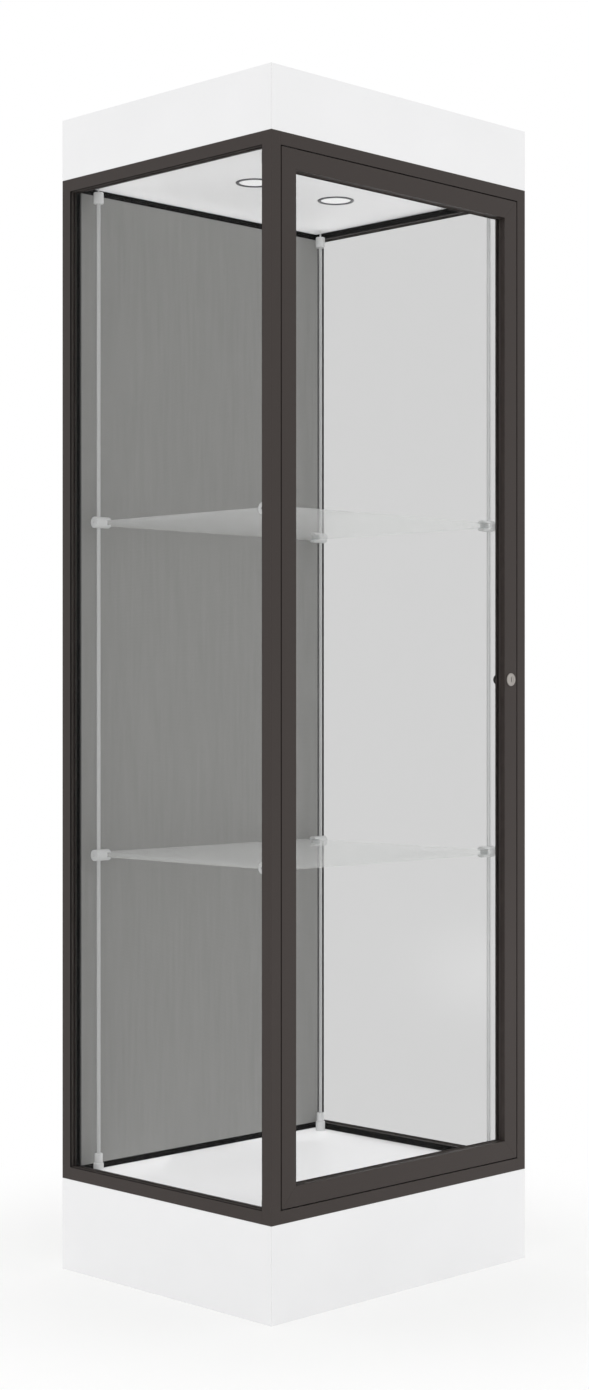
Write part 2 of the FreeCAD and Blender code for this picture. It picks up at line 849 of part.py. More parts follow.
at_every_rod("rod_bottom_sockets", low_socket, floor_top)
at_every_rod("rod_top_sockets", top_socket, top_socket_top)
at_every_rod("shelf_rods", rod, rod_middle)

# Pivot pins in the front rails
pin_levels = {LOW: d.base_height + d.tube, HIGH: frame_top - d.tube}
pivot_pin = turned("pivot_pin", "XZ", [
    (ZERO, -d.pin_root),
    (d.pin_radius, -d.pin_root),
    (d.pin_radius, ZERO),
    (d.pin_collar_radius, ZERO),
    (d.pin_collar_radius, d.pin_collar),
    (d.pin_radius, d.pin_collar),
    (d.pin_radius, d.pin_reach - d.pin_tip),
    (d.pin_radius - d.pin_tip, d.pin_reach),
    (ZERO, d.pin_reach),
], pivot_x, pivot_y, pin_levels[LOW])
upper_pin = copy_of(pivot_pin, (pivot_x, pivot_y, pin_levels[HIGH]), ACROSS, HALF_TURN)
group("pivot_pins", [pivot_pin, upper_pin])

# Door stiles and rails: one hollow section with a glass groove, mitred at both ends
door_groove_from = d.door_glass_set - d.gasket_wall - d.groove_play
door_groove_to = d.door_glass_set + d.glass + d.gasket_wall + d.groove_play
door_hollow_end = d.door_face - d.door_groove - d.door_groove_web
door_edges = {LOW: frame_middle - half_door_height, HIGH: frame_middle + half_door_height}


def door_section(sketch, place):
    """Draws the door section; place turns distances from the outer edge and front into sketch points."""
    floor = d.door_face - d.door_groove
    back_wall = d.door_thick - d.door_wall
    section = [
        (ZERO, ZERO),
        (d.door_face, ZERO),
        (d.door_face, door_groove_from),
        (floor, door_groove_from),
        (floor, door_groove_to),
        (d.door_face, door_groove_to),
        (d.door_face, d.door_thick),
        (ZERO, d.door_thick),
    ]
    hollow = [
        (d.door_wall, d.door_wall),
        (door_hollow_end, d.door_wall),
        (door_hollow_end, back_wall),
        (d.door_wall, back_wall),
    ]
    outline(sketch, [place(a, b) for a, b in section])
    outline(sketch, [place(a, b) for a, b in hollow])


def mitre_ends(body, half_length, place):
    """Cuts both ends at 45 degrees, from the outer edge inwards."""
    spare = d.mitre_spare
    sketch = new_sketch(body, "XZ")
    for end in BOTH_SIDES:
        outline(sketch, [
            place(-spare, (half_length + spare) * end),
            place(d.door_face + spare, (half_length + spare) * end),
            place(d.door_face + spare, (half_length - d.door_face - spare) * end),
        ])
    cut(body, sketch)


def door_stile(label, side):
    body = new_body(label, half_door * side, -half_depth, frame_middle)
    sketch = new_sketch(body, "XY")
    door_section(sketch, lambda a, b: (a * -side, b))
    pad(body, sketch, half_door_height * 2)
    mitre_ends(body, half_door_height, lambda across, along: (across * -side, along))
    return keep(body)


def door_rail(label, level):
    body = new_body(label, ZERO, -half_depth, door_edges[level])
    sketch = new_sketch(body, "YZ")
    door_section(sketch, lambda a, b: (b, a * -level))
    pad(body, sketch, half_door * 2)
    mitre_ends(body, half_door, lambda across, along: (along, across * -level))
    pin_hole = new_sketch(body, "XY")
    circle(pin_hole, d.pin_clear_radius, pivot_x, d.pivot_back)
    cut(body, pin_hole, d.door_wall * 2)
    return keep(body)


door_stile("door_stile_hinge", LEFT)
lock_stile = door_stile("door_stile_lock", RIGHT)
door_rail("door_rail_bottom", LOW)
door_rail("door_rail_top", HIGH)

lock_x = half_door - d.door_face / 2
lock_hole = new_sketch(lock_stile, "XZ")
circle(lock_hole, d.barrel_radius + d.barrel_play, -d.door_face / 2, d.lock_height - frame_middle)
cut(lock_stile, lock_hole)


# Corner keys inside the mitres; the two on the hinge side are bored for the pivot pins
def corner_key(side, level):
    label = f"door_key_{LEVEL_NAMES[level]}_{SIDE_NAMES[side]}"
    body = new_body(label, half_door * side, d.door_thick / 2 - half_depth, door_edges[level])
    near = d.door_wall + d.key_play
    far = door_hollow_end - d.key_play
    ell = [
        (near, near),
        (d.key_arm, near),
        (d.key_arm, far),
        (far, far),
        (far, d.key_arm),
        (near, d.key_arm),
    ]
    sketch = new_sketch(body, "XZ")
    outline(sketch, [(a * -side, b * -level) for a, b in ell])
    pad(body, sketch, d.door_thick - near * 2)
    if side == LEFT:
        bore = new_sketch(body, "XY")
        circle(bore, d.pin_radius + d.pin_play, d.pivot_in, d.pivot_back - d.door_thick / 2)
        cut(body, bore, d.pin_well * 2)
    return body


group("door_corner_keys", [corner_key(side, level) for side in BOTH_SIDES for level in BOTH_SIDES])

# Door glass and its gasket
sight_x = half_door - d.door_face
sight_z = half_door_height - d.door_face
door_glass_place = (ZERO, d.door_glass_set + d.glass / 2 - half_depth, frame_middle)
door_pane_x = sight_x + d.door_bite
door_pane_z = sight_z + d.door_bite
keep(panel("door_glass", "XZ", door_pane_x, door_pane_z, d.glass, *door_glass_place))
keep(gasket_frame(
    "door_gasket", "XZ", door_pane_x, door_pane_z,
    sight_x - d.door_bead, sight_z - d.door_bead, door_glass_place,
))

# Cam lock in the lock stile; distances run back from the door's front face
lock_place = (lock_x, -half_depth, d.lock_height)
barrel_bore = d.plug_radius + d.barrel_play
keep(turned("lock_barrel", "XY", [
    (barrel_bore, -d.lock_flange),
    (d.lock_flange_radius - d.lock_rim, -d.lock_flange),
    (d.lock_flange_radius, d.lock_rim - d.lock_flange),
    (d.lock_flange_radius, ZERO),
    (d.barrel_radius, ZERO),
    (d.barrel_radius, d.barrel_length),
    (barrel_bore, d.barrel_length),
], *lock_place))

lock_nut = keep(new_body(
    "lock_nut", lock_x, d.door_thick + d.lock_nut_thick / 2 - half_depth, d.lock_height
))
nut_sketch = new_sketch(lock_nut, "XZ")
hexagon(nut_sketch, d.lock_nut_flat, math.pi / HEXAGON_SIDES)
circle(nut_sketch, d.barrel_radius + d.barrel_play)
pad(lock_nut, nut_sketch, d.lock_nut_thick)

plug_face = d.plug_set - d.lock_flange
lock_plug = keep(turned("lock_plug", "XY", [
    (ZERO, plug_face),
    (d.plug_radius, plug_face),
    (d.plug_radius, d.plug_end),
    (d.stub_radius, d.plug_end),
    (d.stub_radius, d.stub_end),
    (ZERO, d.stub_end),
], *lock_place))
key_slot = new_sketch(lock_plug, "XZ", -plug_face)
rectangle(key_slot, d.key_slot_width / 2, d.key_slot_length / 2)
cut(lock_plug, key_slot, d.key_slot_depth * 2)

lock_cam = keep(new_body(
    "lock_cam", lock_x, d.cam_front + d.cam_thick / 2 - half_depth, d.lock_height
))
cam_sketch = new_sketch(lock_cam, "XZ")
outline(cam_sketch, [
    (-d.cam_half, d.cam_hub),
    (-d.cam_half, d.cam_nose - d.cam_reach),
    (d.cam_nose - d.cam_half, -d.cam_reach),
    (d.cam_half - d.cam_nose, -d.cam_reach),
    (d.cam_half, d.cam_nose - d.cam_reach),
    (d.cam_half, d.cam_hub),
])
circle(cam_sketch, d.stub_radius + d.barrel_play)
pad(lock_cam, cam_sketch, d.cam_thick)
round_edges(lock_cam, INWARDS, d.cam_round, lambda middle: middle.z > 0)

cap_front = d.cam_front + d.cam_thick + d.barrel_play
cap_bore = d.stub_radius + d.barrel_play
keep(turned("cam_cap", "XY", [
    (cap_bore, cap_front),
    (d.cap_radius, cap_front),
    (d.cap_radius, d.cap_end - d.cap_bevel),
    (d.cap_radius - d.cap_bevel, d.cap_end),
    (ZERO, d.cap_end),
    (ZERO, d.stub_end + d.barrel_play),
    (cap_bore, d.stub_end + d.barrel_play),
], *lock_place))

# Strike plate on the lock post: it stops the door and holds the turned cam
strike = keep(new_body("lock_strike", half_width, d.tube - half_depth, d.lock_height))
strike_sketch = new_sketch(strike, "XY")
strike_end = d.tube + d.strike_lap
outline(strike_sketch, [
    (-d.strike_from, ZERO),
    (-d.strike_from, d.strike_thick),
    (-strike_end, d.strike_thick),
    (-strike_end, d.strike_step),
    (-d.tube, d.strike_step),
    (-d.tube, ZERO),
])
pad(strike, strike_sketch, d.strike_length)


# Shelf clamps: a short cylinder on the rod, slotted for the glass
def shelf_clamp(label, z):
    body = new_body(label, d.rod_x, -d.rod_y, z)
    sketch = new_sketch(body, "XY")
    outline(sketch, [
        (-d.clamp_inner, ZERO),
        (-d.clamp_inner, d.clamp_radius - d.clamp_bevel),
        (d.clamp_bevel - d.clamp_inner, d.clamp_radius),
        (d.clamp_outer - d.clamp_bevel, d.clamp_radius),
        (d.clamp_outer, d.clamp_radius - d.clamp_bevel),
        (d.clamp_outer, ZERO),
    ])
    revolve(body, sketch, "H_Axis")
    slot = new_sketch(body, "XZ")
    slot_middle = (d.slot_floor + d.clamp_inner + d.clamp_bevel) / -2
    rectangle(slot, -slot_middle - d.slot_floor, d.slot_height / 2, slot_middle, ZERO)
    cut(body, slot)
    rod_hole = new_sketch(body, "XY")
    circle(rod_hole, d.rod_radius + d.rod_play)
    cut(body, rod_hole)
    set_screw = new_sketch(body, "YZ", d.clamp_outer)
    hexagon(set_screw, d.set_screw_radius)
    cut(body, set_screw, d.set_screw_depth * 2)
    return body


def clamp_liner(label, z):
    """A soft channel between the clamp's jaws and the glass."""
    body = new_body(label, d.rod_x, -d.rod_y, z)
    tip = d.liner_set - d.clamp_inner
    outer_floor = -d.slot_floor - d.liner_play
    inner_floor = d.shelf_width / 2 - d.rod_x + d.liner_play
    outer = d.slot_height / 2 - d.liner_play
    inner = d.shelf_thick / 2 + d.liner_play
    sketch = new_sketch(body, "XZ")
    outline(sketch, [
        (tip, -outer),
        (outer_floor, -outer),
        (outer_floor, outer),
        (tip, outer),
        (tip, inner),
        (inner_floor, inner),
        (inner_floor, -inner),
        (tip, -inner),
    ])
    pad(body, sketch, d.liner_width)
    return body


def at_shelf_corners(label, piece, z):
    """Repeats a right front piece at the other three rods, jaws towards the middle."""
    pieces = [piece]
    for depth_side in BOTH_SIDES:
        for side in BOTH_SIDES:
            if (side, depth_side) != (RIGHT, FRONT):
                turn = HALF_TURN if side == LEFT else 0
                place = (d.rod_x * side, d.rod_y * depth_side, z)
                pieces.append(copy_of(piece, place, UPRIGHT, turn))
    group(label, pieces)


for shelf, level in (("upper_shelf", d.upper_shelf), ("lower_shelf", d.lower_shelf)):
    shelf_glass = keep(panel(
        f"{shelf}_glass", "XY", d.shelf_width / 2, d.shelf_depth / 2, d.shelf_thick, z=level
    ))
    round_edges(shelf_glass, UPRIGHT, d.shelf_corner)
    at_shelf_corners(f"{shelf}_clamps", shelf_clamp(f"{shelf}_clamp", level), level)
    at_shelf_corners(f"{shelf}_liners", clamp_liner(f"{shelf}_liner", level), level)

# Check and export
doc.recompute()
for thing in doc.Objects:
    if "Invalid" in thing.State or "Error" in thing.State:
        raise RuntimeError(f"{thing.Label} failed: {thing.State}")
    if thing.TypeId == "PartDesign::Pocket":
        removed = thing.BaseFeature.Shape.Volume - thing.Shape.Volume
        if removed < SMALLEST_CUT:
            raise RuntimeError(f"{thing.Label} cuts nothing")
for node in nodes:
    if node.Shape.isNull() or not node.Shape.isValid():
        raise RuntimeError(f"{node.Label} has no valid shape")
os.makedirs("parts", exist_ok=True)
for node in nodes:
    node.Shape.exportStep(f"parts/{node.Label}.step")
print(len(nodes), "sub-parts written")
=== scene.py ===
# %% [markdown]
# A glass tower display case.
# The case is a tall shop and school display cabinet: a white laminate base and header, a dark
# bronze aluminium frame, clear glass on three sides, a gray cloth panel at the back, and two glass
# shelves that hang on thin rods.
# The CAD model already has every piece at its real size and place, so it is loaded as a fixed
# frame. This lesson gives each surface its finish, softens the edges, adds the smallest metal
# parts, and sets up a plain studio round it. One unit is one metre.

# %% Load the frame
import math

import bmesh
import bpy
from mathutils import Matrix, Vector


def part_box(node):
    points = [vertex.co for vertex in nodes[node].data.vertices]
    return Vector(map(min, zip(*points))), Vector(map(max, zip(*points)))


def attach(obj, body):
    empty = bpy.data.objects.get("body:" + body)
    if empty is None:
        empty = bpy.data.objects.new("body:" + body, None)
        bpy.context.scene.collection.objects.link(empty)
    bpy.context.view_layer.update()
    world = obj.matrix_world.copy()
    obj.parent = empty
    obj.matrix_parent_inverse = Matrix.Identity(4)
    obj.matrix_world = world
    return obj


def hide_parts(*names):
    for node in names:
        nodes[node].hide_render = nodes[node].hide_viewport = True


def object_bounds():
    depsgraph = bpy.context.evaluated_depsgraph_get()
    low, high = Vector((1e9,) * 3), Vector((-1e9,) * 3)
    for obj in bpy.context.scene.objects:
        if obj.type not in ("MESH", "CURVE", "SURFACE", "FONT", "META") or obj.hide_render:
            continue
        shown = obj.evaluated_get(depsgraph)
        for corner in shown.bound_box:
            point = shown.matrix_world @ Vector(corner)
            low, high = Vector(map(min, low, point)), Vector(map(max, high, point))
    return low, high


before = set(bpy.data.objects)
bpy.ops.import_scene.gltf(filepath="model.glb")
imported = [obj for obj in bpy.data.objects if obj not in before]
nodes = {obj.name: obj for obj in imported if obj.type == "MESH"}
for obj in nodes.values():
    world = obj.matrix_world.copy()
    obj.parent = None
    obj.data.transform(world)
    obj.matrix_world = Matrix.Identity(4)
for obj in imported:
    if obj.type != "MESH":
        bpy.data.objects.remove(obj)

cad_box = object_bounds()
scene = bpy.context.scene
print("pieces in the frame:", len(nodes), "size in metres:", cad_box[1] - cad_box[0])

# %% [markdown]
# Working helpers.
# Colours are picked on a screen, so they are written as sRGB hex values, but shaders add up
# light and need linear numbers.
# Patterns are sized from real millimetres. Object coordinates here are metres, so a pattern that
# repeats every few millimetres needs a scale of that many repeats to the metre.
# A shader tree is a list of nodes, and one small function can add any of them.

# %% Helpers for colours, sizes and shader nodes
MM = 0.001
SRGB_KNEE = 0.04045
SRGB_SLOPE = 12.92
SRGB_OFFSET = 0.055
SRGB_POWER = 2.4
HEX_BASE = 16
HEX_TOP = 255


def colour(code):
    """The linear colour of an sRGB hex value such as #F2F2F0."""
    linear = []
    for start in (1, 3, 5):
        part = int(code[start:start + 2], HEX_BASE) / HEX_TOP
        if part <= SRGB_KNEE:
            linear.append(part / SRGB_SLOPE)
        else:
            linear.append(((part + SRGB_OFFSET) / (1 + SRGB_OFFSET)) ** SRGB_POWER)
    return (*linear, 1.0)


def repeats(size_mm):
    """How many steps of this size fit in one metre."""
    return 1 / (size_mm * MM)


def add(tree, kind, settings=None, links=None):
    """Adds one node, with its options or input values and with what feeds its inputs."""
    node = tree.nodes.new(f"ShaderNode{kind}")
    for name, value in (settings or {}).items():
        if isinstance(name, str) and hasattr(node, name):
            setattr(node, name, value)
        else:
            node.inputs[name].default_value = value
    for name, source in (links or {}).items():
        tree.links.new(source, node.inputs[name])
    return node


def new_finish(name):
    """An empty material and its shader tree."""
    material = bpy.data.materials.new(name)
    material.use_nodes = True
    material.node_tree.nodes.clear()
    return material, material.node_tree


def paint(material, *names):
    """Gives a finish to CAD pieces by name."""
    for name in names:
        for slot in nodes[name].material_slots:
            slot.material = material
    print(material.name, "on", len(names), "pieces")


# The inputs and outputs of a colour mix have the same names as those of other kinds of mix,
# so they are found by number.
MIX_FIRST = 6
MIX_SECOND = 7
MIX_RESULT = 2
print("one pattern step of 2 mm is a scale of", round(repeats(2)))

# %% [markdown]
# One skin for many finishes.
# Board, wood, metal and plastic differ in pattern and colour, but their shaders end in the same way.
# A pattern picks a tone between two close colours and a roughness between two limits, and where the
# surface has a relief, the pattern also raises it. One function builds that ending, so each finish
# below only brings its own pattern. The directions of the case are numbered as in its coordinates.

# %% The ending that most shaders share
ACROSS, DEEP, UPRIGHT = range(3)
PLAIN_INDEX = 1.5
RELIEF_STRENGTH = 0.5


def add_skin(tree, pattern, tones, sheen, settings, relief_mm=0, strength=RELIEF_STRENGTH, cloud=None):
    """Ends a shader whose roughness and relief follow a pattern, as its tone does without a cloud."""
    pale, dark = tones
    smooth, rough = sheen
    tone = add(
        tree, "Mix",
        {"data_type": "RGBA", MIX_FIRST: colour(dark), MIX_SECOND: colour(pale)},
        {"Factor": pattern if cloud is None else cloud},
    )
    matt = add(tree, "MapRange", {"To Min": smooth, "To Max": rough}, {"Value": pattern})
    links = {"Base Color": tone.outputs[MIX_RESULT], "Roughness": matt.outputs["Result"]}
    if relief_mm:
        bump = add(
            tree, "Bump", {"Strength": strength, "Distance": relief_mm * MM}, {"Height": pattern}
        )
        links["Normal"] = bump.outputs["Normal"]
    skin = add(tree, "BsdfPrincipled", settings, links)
    add(tree, "OutputMaterial", {}, {"Surface": skin.outputs["BSDF"]})


print("a relief shows at a strength of", RELIEF_STRENGTH)

# %% [markdown]
# White melamine laminate.
# The base, header, floor and ceiling are particle board with a printed and pressed melamine skin.
# The press plate leaves a fine pebbled surface with a satin sheen, and the white is never quite
# even. A real pebble is about half a millimetre wide, far below a pixel, so it is drawn at 3 mm.
# Noise could also displace the mesh, but a bump is enough for a skin this flat.

# %% White laminate
LAMINATE_WHITE = "#F3F3F4"
LAMINATE_SHADE = "#EEEEEF"
LAMINATE_SHEEN = (0.38, 0.52)
PEBBLE_MM = 3
CLOUD_MM = 140
PEBBLE_HEIGHT_MM = 0.02
PEBBLE_STRENGTH = 0.6


def white_melamine():
    """A pressed white board skin. Wide clouds tone it, and pebbles shape it."""
    material, tree = new_finish("white_melamine_laminate")
    place = add(tree, "TexCoord").outputs["Object"]
    cloud = add(tree, "TexNoise", {"Scale": repeats(CLOUD_MM), "Detail": 2.0}, {"Vector": place})
    pebble = add(tree, "TexNoise", {"Scale": repeats(PEBBLE_MM), "Detail": 1.0}, {"Vector": place})
    add_skin(
        tree, pebble.outputs["Fac"], (LAMINATE_WHITE, LAMINATE_SHADE), LAMINATE_SHEEN,
        {"IOR": PLAIN_INDEX}, PEBBLE_HEIGHT_MM, PEBBLE_STRENGTH, cloud.outputs["Fac"],
    )
    return material


paint(
    white_melamine(),
    "base_front_board", "base_back_board", "base_side_boards", "base_deck", "floor_panel",
    "header_front_board", "header_back_board", "header_side_boards", "header_top_board",
    "ceiling_panel",
)

# %% [markdown]
# Planed softwood.
# The corner blocks in the base and the cleats in the header are plain spruce strips. Grain is long
# and narrow, so one noise pattern is squeezed across the strip and stretched along it.

# %% Planed spruce
SPRUCE_PALE = "#D9BC8C"
SPRUCE_DARK = "#B58F5C"
SPRUCE_SHEEN = (0.55, 0.75)
GRAIN_WIDTH_MM = 3
GRAIN_LENGTH_MM = 90


def planed_spruce():
    """Pale wood with darker grain lines along the pieces."""
    material, tree = new_finish("planed_spruce")
    place = add(tree, "TexCoord").outputs["Object"]
    squeeze = (repeats(GRAIN_LENGTH_MM), repeats(GRAIN_WIDTH_MM), repeats(GRAIN_WIDTH_MM))
    drawn = add(tree, "Mapping", {"Scale": squeeze}, {"Vector": place})
    grain = add(
        tree, "TexNoise", {"Scale": 1.0, "Detail": 4.0, "Distortion": 0.6},
        {"Vector": drawn.outputs["Vector"]},
    )
    add_skin(
        tree, grain.outputs["Fac"], (SPRUCE_PALE, SPRUCE_DARK), SPRUCE_SHEEN, {"IOR": PLAIN_INDEX}
    )
    return material


paint(planed_spruce(), "base_corner_blocks", "header_cleats")

# %% [markdown]
# Dark bronze anodised aluminium.
# Posts, rails and the door frame are aluminium pushed through a die and then anodised. The die
# leaves faint lines along the length, and the dye in the oxide skin makes the metal almost black.
# The skin scatters about half of the light itself, so the shader is half metal and half plain dark
# colour. A full metal would mirror the dark inside of the case on every inner edge. The lines
# follow the length of each piece, so the finish is made once for each of the three directions.

# %% Bronze anodised extrusions
BRONZE = "#3C3532"
BRONZE_LINE = "#38312E"
BRONZE_SHEEN = (0.42, 0.56)
BRONZE_METAL_SHARE = 0.5
DIE_LINE_MM = 1.6
DIE_LINE_LENGTH_MM = 700
DIE_LINE_DEPTH_MM = 0.01


def bronze_extrusion(name, run):
    """Anodised metal with die lines along one direction of the case."""
    material, tree = new_finish(name)
    place = add(tree, "TexCoord").outputs["Object"]
    squeeze = [repeats(DIE_LINE_MM)] * 3
    squeeze[run] = repeats(DIE_LINE_LENGTH_MM)
    drawn = add(tree, "Mapping", {"Scale": squeeze}, {"Vector": place})
    lines = add(
        tree, "TexNoise", {"Scale": 1.0, "Detail": 2.0}, {"Vector": drawn.outputs["Vector"]}
    )
    add_skin(
        tree, lines.outputs["Fac"], (BRONZE, BRONZE_LINE), BRONZE_SHEEN,
        {"Metallic": BRONZE_METAL_SHARE}, DIE_LINE_DEPTH_MM,
    )
    return material


paint(
    bronze_extrusion("bronze_anodised_wide", ACROSS),
    "rail_bottom_front", "rail_bottom_back", "rail_top_front", "rail_top_back",
    "door_rail_bottom", "door_rail_top",
)
paint(bronze_extrusion("bronze_anodised_deep", DEEP), "rail_bottom_sides", "rail_top_sides")
paint(
    bronze_extrusion("bronze_anodised_upright", UPRIGHT),
    "post_front_left", "post_front_right", "post_back_left", "post_back_right",
    "door_stile_hinge", "door_stile_lock",
)

# %% [markdown]
# Clear float glass.
# Each pane takes away a little light and mirrors very little head on, but more at a low angle. A
# refracting shader would bend the view by 2 mm in a 6 mm pane, too little to see, and it would
# block the lamps. So the pane is a Transparent shader, tinted on each of its two faces, with a
# mirror mixed in. The Facing output is one minus the cosine of the viewing angle, and its fifth
# power is the usual rule for how a mirror grows at low angles. Light that falls through a pane on
# the pieces inside is let through whole, because glass in the way of a lamp only costs time.
# The shelves carry a faint milky film of dust and polish, which is a pale matt share of the mix.
# A film is thin, so half of its light comes from the side that is turned away.

# %% Float glass for panes and shelves
PANE_TINT = "#F3F3F3"
SHELF_TINT = "#FCFDFC"
SHELF_FILM = "#F2F2F2"
GLASS_WHOLE = "#FFFFFF"
HEAD_ON_SHINE = 0.004
LOW_ANGLE_SHINE = 0.35
SHINE_POWER = 5
FACING_BLEND = 0.5
CLEAN_ROUGHNESS = 0.14
SMEARED_ROUGHNESS = 0.21
SMEAR_MM = 160
FILM_SHARE = 0.18
FILM_FAR_SHARE = 0.5


def float_glass(name, tint, film_share):
    """Tinted clear glass with a weak mirror and, on shelves, a matt film."""
    material, tree = new_finish(name)
    place = add(tree, "TexCoord").outputs["Object"]
    smear = add(tree, "TexNoise", {"Scale": repeats(SMEAR_MM), "Detail": 3.0}, {"Vector": place})
    polish = add(
        tree, "MapRange", {"To Min": CLEAN_ROUGHNESS, "To Max": SMEARED_ROUGHNESS},
        {"Value": smear.outputs["Fac"]},
    )
    rays = add(tree, "LightPath")
    lighting = add(
        tree, "Math", {"operation": "MAXIMUM"},
        {0: rays.outputs["Is Shadow Ray"], 1: rays.outputs["Is Diffuse Ray"]},
    )
    toned = add(
        tree, "Mix",
        {"data_type": "RGBA", MIX_FIRST: colour(tint), MIX_SECOND: colour(GLASS_WHOLE)},
        {"Factor": lighting.outputs["Value"]},
    )
    clear = add(tree, "BsdfTransparent", {}, {"Color": toned.outputs[MIX_RESULT]})
    mirror = add(tree, "BsdfGlossy", {}, {"Roughness": polish.outputs["Result"]})
    facing = add(tree, "LayerWeight", {"Blend": FACING_BLEND})
    steep = add(
        tree, "Math", {"operation": "POWER", 1: SHINE_POWER}, {0: facing.outputs["Facing"]}
    )
    shine = add(
        tree, "Math", {"operation": "MULTIPLY_ADD", 1: LOW_ANGLE_SHINE, 2: HEAD_ON_SHINE},
        {0: steep.outputs["Value"]},
    )
    glass = add(
        tree, "MixShader", {},
        {0: shine.outputs["Value"], 1: clear.outputs["BSDF"], 2: mirror.outputs["BSDF"]},
    )
    if film_share:
        near_side = add(tree, "BsdfDiffuse", {"Color": colour(SHELF_FILM)})
        far_side = add(tree, "BsdfTranslucent", {"Color": colour(SHELF_FILM)})
        film = add(
            tree, "MixShader", {0: FILM_FAR_SHARE},
            {1: near_side.outputs["BSDF"], 2: far_side.outputs["BSDF"]},
        )
        glass = add(
            tree, "MixShader", {0: film_share},
            {1: glass.outputs["Shader"], 2: film.outputs["Shader"]},
        )
    add(tree, "OutputMaterial", {}, {"Surface": glass.outputs["Shader"]})
    return material


paint(
    float_glass("clear_float_glass", PANE_TINT, 0),
    "side_glass_left", "side_glass_right", "door_glass",
)
paint(
    float_glass("shelf_float_glass", SHELF_TINT, FILM_SHARE),
    "upper_shelf_glass", "lower_shelf_glass",
)

# %% [markdown]
# Rubber and plastic.
# The cord grommet and the edge strips are EPDM rubber, which is matt and nearly black, and the
# edge strips also stand as painted shade inside the case. The channel gaskets are the same rubber
# dyed brown to go with the frame. The lock's end cap, the corner keys, the rail spigots and the light
# driver are moulded plastic with a fine spark-eroded grain and more sheen. All of them are the same
# kind of surface, so one function makes them, and only the colour, the grain and the sheen differ. A
# talc film on the black rubber takes most of its shine away, which is a low specular level.

# %% Rubber and moulded plastic
RUBBER_GRAIN_MM = 4
PLASTIC_GRAIN_MM = 2
GRAIN_HEIGHT_MM = 0.05
PLAIN_SHINE = 0.5
TALC_SHINE = 0.12
RUBBER_SHEEN = (0.7, 0.85)
GASKET_SHEEN = (0.62, 0.8)
PLASTIC_SHEEN = (0.38, 0.5)
SMOOTH_SHEEN = (0.3, 0.42)


def moulded(name, tones, grain_mm, sheen, shine=PLAIN_SHINE):
    """A moulded or extruded polymer with a fine grain."""
    material, tree = new_finish(name)
    place = add(tree, "TexCoord").outputs["Object"]
    grain = add(tree, "TexNoise", {"Scale": repeats(grain_mm), "Detail": 2.0}, {"Vector": place})
    add_skin(
        tree, grain.outputs["Fac"], tones, sheen,
        {"IOR": PLAIN_INDEX, "Specular IOR Level": shine}, GRAIN_HEIGHT_MM,
    )
    return material


# This black rubber also makes the edge strips, which are painted shade inside the case.
rubber = moulded(
    "black_epdm_rubber", ("#121211", "#0C0C0C"), RUBBER_GRAIN_MM, RUBBER_SHEEN, TALC_SHINE
)
paint(rubber, "cord_grommet")
paint(
    moulded("brown_epdm_gasket", ("#46403D", "#3E3835"), RUBBER_GRAIN_MM, GASKET_SHEEN),
    "side_gaskets", "door_gasket",
)
paint(
    moulded("black_abs_plastic", ("#242424", "#1B1B1B"), PLASTIC_GRAIN_MM, PLASTIC_SHEEN),
    "led_driver", "cam_cap", "rail_spigots", "door_corner_keys",
)
paint(
    moulded("clear_vinyl_liner", ("#D8DBDB", "#C9CDCD"), PLASTIC_GRAIN_MM, SMOOTH_SHEEN),
    "upper_shelf_liners", "lower_shelf_liners",
)
paint(
    moulded("gray_enamel_bezel", ("#5F6062", "#545557"), PLASTIC_GRAIN_MM, SMOOTH_SHEEN),
    "puck_bezels",
)

# %% [markdown]
# Woven panel cloth.
# The back panel is board wrapped in gray cloth. Close to, it is a plain weave: warp threads go over
# and under the weft. From a step away only slubs show, the long uneven places in the upright
# threads. Two wave patterns make the weave and one tall narrow noise makes the slubs. Threads are
# about 0.8 mm apart, too fine to show, so they are drawn at 2.4 mm.

# %% Gray panel cloth
CLOTH_PALE = "#9F9F9D"
CLOTH_DARK = "#939391"
THREAD_MM = 2.4
SLUB_WIDTH_MM = 7
SLUB_LENGTH_MM = 120
THREAD_HEIGHT_MM = 0.25
WAVES_PER_SCALE = math.pi
WEAVE_SHARE = 0.3
CLOTH_ROUGHNESS = 0.9
CLOTH_SHINE = 0.2
FUZZ_WEIGHT = 0.15
FUZZ_ROUGHNESS = 0.5


